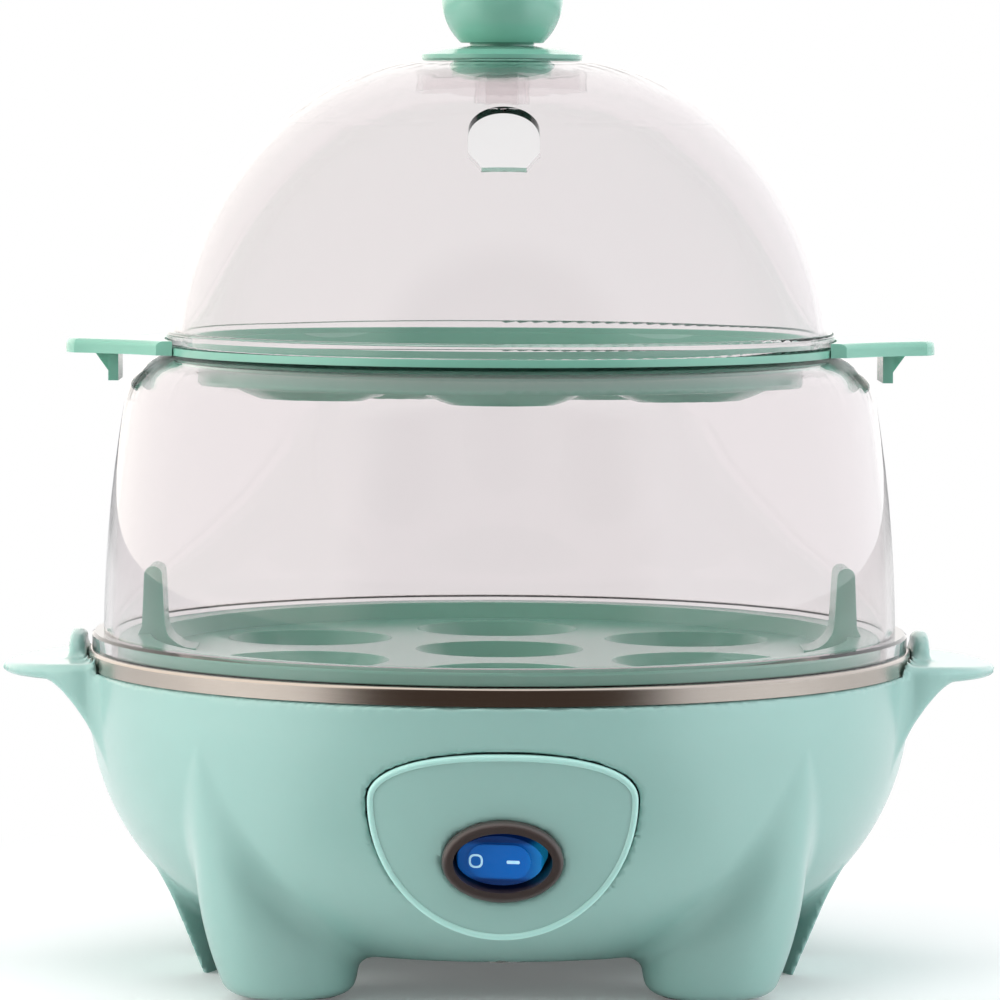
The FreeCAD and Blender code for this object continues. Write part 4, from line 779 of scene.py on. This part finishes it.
def floor_material():
    """Pale and matt; to the camera it is lifted to white away from the cooker's shadow."""
    finish = new_finish("floor")
    grain = finish.noise(60, 3)
    matt = finish.principled(
        Base_Color=finish.mix(grain, rgb(240, 240, 240), rgb(244, 244, 244)), Roughness=0.9,
        Specular_IOR_Level=0.2)
    away = finish.node("ShaderNodeVectorMath", {"operation": "LENGTH"}, {0: finish.place()}, 1)
    fade = finish.node("ShaderNodeMapRange", {"interpolation_type": "SMOOTHSTEP"},
                       {0: away, 1: 0.08, 2: 0.24, 3: 0.0, 4: 1.0})
    near = finish.node("ShaderNodeEmission", {}, {"Color": (1, 1, 1, 1), "Strength": 0.12})
    both = finish.node("ShaderNodeAddShader", {}, {0: matt, 1: near})
    white = finish.node("ShaderNodeEmission", {}, {"Color": (1, 1, 1, 1), "Strength": 1.0})
    lifted = finish.node("ShaderNodeMixShader", {}, {0: fade, 1: both, 2: white})
    camera = finish.node("ShaderNodeLightPath", {}, {}, "Is Camera Ray")
    through = finish.node("ShaderNodeLightPath", {}, {}, "Is Transmission Ray")
    seen = (camera + through).clamped()
    apart = finish.node("ShaderNodeSeparateXYZ", {}, {0: finish.place()})
    ahead = Field(finish, apart.socket.node.outputs[1]) / away
    rear = finish.node("ShaderNodeMapRange", {"interpolation_type": "SMOOTHSTEP"},
                       {0: ahead, 1: DARK_EDGE, 2: BRIGHT_EDGE, 3: 1.0, 4: 0.0})
    mirror = finish.node("ShaderNodeLightPath", {}, {}, "Is Glossy Ray")
    beyond = finish.node("ShaderNodeMapRange", {}, {0: away, 1: 0.08, 2: 0.12, 3: 0.0, 4: 1.0})
    dim = finish.node("ShaderNodeEmission", {}, {"Color": as_rgba(BEHIND_CAMERA), "Strength": 1.0})
    plain = finish.node("ShaderNodeMixShader", {}, {0: rear * mirror * beyond, 1: matt, 2: dim})
    return finish.surface(finish.node("ShaderNodeMixShader", {}, {0: seen, 1: plain, 2: lifted}))


class COOKER_OT_stage(bpy.types.Operator):
    """Set up the floor, the soft lamps, the world and the camera"""
    bl_idname = "cooker.stage"
    bl_label = "Stage"

    def execute(self, context):
        scene = context.scene
        scene.view_settings.view_transform = "Standard"
        studio_world()
        rim, steps, floor_gap = 3.0, 64, 0.0002
        turns = [2 * math.pi * i / steps for i in range(steps)]
        ground = bpy.data.meshes.new("floor")
        ground.from_pydata([(rim * math.cos(a), rim * math.sin(a), 0) for a in turns], [], [range(steps)])
        ground.materials.append(floor_material())
        floor = bpy.data.objects.new("floor", ground)
        floor.location.z = -floor_gap
        scene.collection.objects.link(floor)
        middle = (0, 0, 0.11)
        area_lamp("left_softbox", (-1.3, -0.35, 0.5), middle, 0.8, 1.1, 15, (1, 0.98, 0.95))
        area_lamp("right_softbox", (1.3, -0.3, 0.45), middle, 0.8, 1.1, 11, (0.95, 0.98, 1))
        area_lamp("top_softbox", (0, -0.2, 1.4), middle, 1.2, 1.0, 9)
        area_lamp("rear_softbox", (0, 1.3, 0.7), middle, 1.6, 1.0, 5)
        data = bpy.data.cameras.new("camera")
        data.sensor_width, data.lens = 36, 192.6
        data.clip_start, data.clip_end = 0.05, 50
        camera = bpy.data.objects.new("camera", data)
        distance = scene.cooker_sizes.camera_distance
        aside, height, aim_height, lean = -0.0115, 0.185, 0.103, math.radians(0.25)
        camera.location = (aside, -distance, height)
        aim = Vector((0.0, 0.0, aim_height)) - camera.location
        roll = Matrix.Rotation(lean, 4, "Z")
        camera.matrix_world = (Matrix.Translation(camera.location)
                               @ aim.to_track_quat("-Z", "Y").to_matrix().to_4x4() @ roll)
        scene.collection.objects.link(camera)
        scene.camera = camera
        return {"FINISHED"}


class COOKER_PT_panel(bpy.types.Panel):
    """Buttons that build the egg cooker"""
    bl_label = "Egg Cooker"
    bl_space_type = "VIEW_3D"
    bl_region_type = "UI"
    bl_category = "Egg Cooker"

    def draw(self, context):
        for group in (context.scene.cooker_colours, context.scene.cooker_sizes):
            for name in group.__annotations__:
                self.layout.prop(group, name)
        for step in STEPS:
            self.layout.operator(step.bl_idname)


STEPS = (COOKER_OT_stage, COOKER_OT_housing, COOKER_OT_heating, COOKER_OT_switch,
         COOKER_OT_trays, COOKER_OT_covers)
CLASSES = (CookerColours, CookerSizes, *STEPS, COOKER_PT_panel)


def register():
    for one in CLASSES:
        bpy.utils.register_class(one)
    bpy.types.Scene.cooker_colours = PointerProperty(type=CookerColours)
    bpy.types.Scene.cooker_sizes = PointerProperty(type=CookerSizes)


def unregister():
    del bpy.types.Scene.cooker_sizes
    del bpy.types.Scene.cooker_colours
    for one in reversed(CLASSES):
        bpy.utils.unregister_class(one)


def main():
    register()
    for step in STEPS:
        group, name = step.bl_idname.split(".")
        getattr(getattr(bpy.ops, group), name)()


if __name__ == "__main__":
    main()
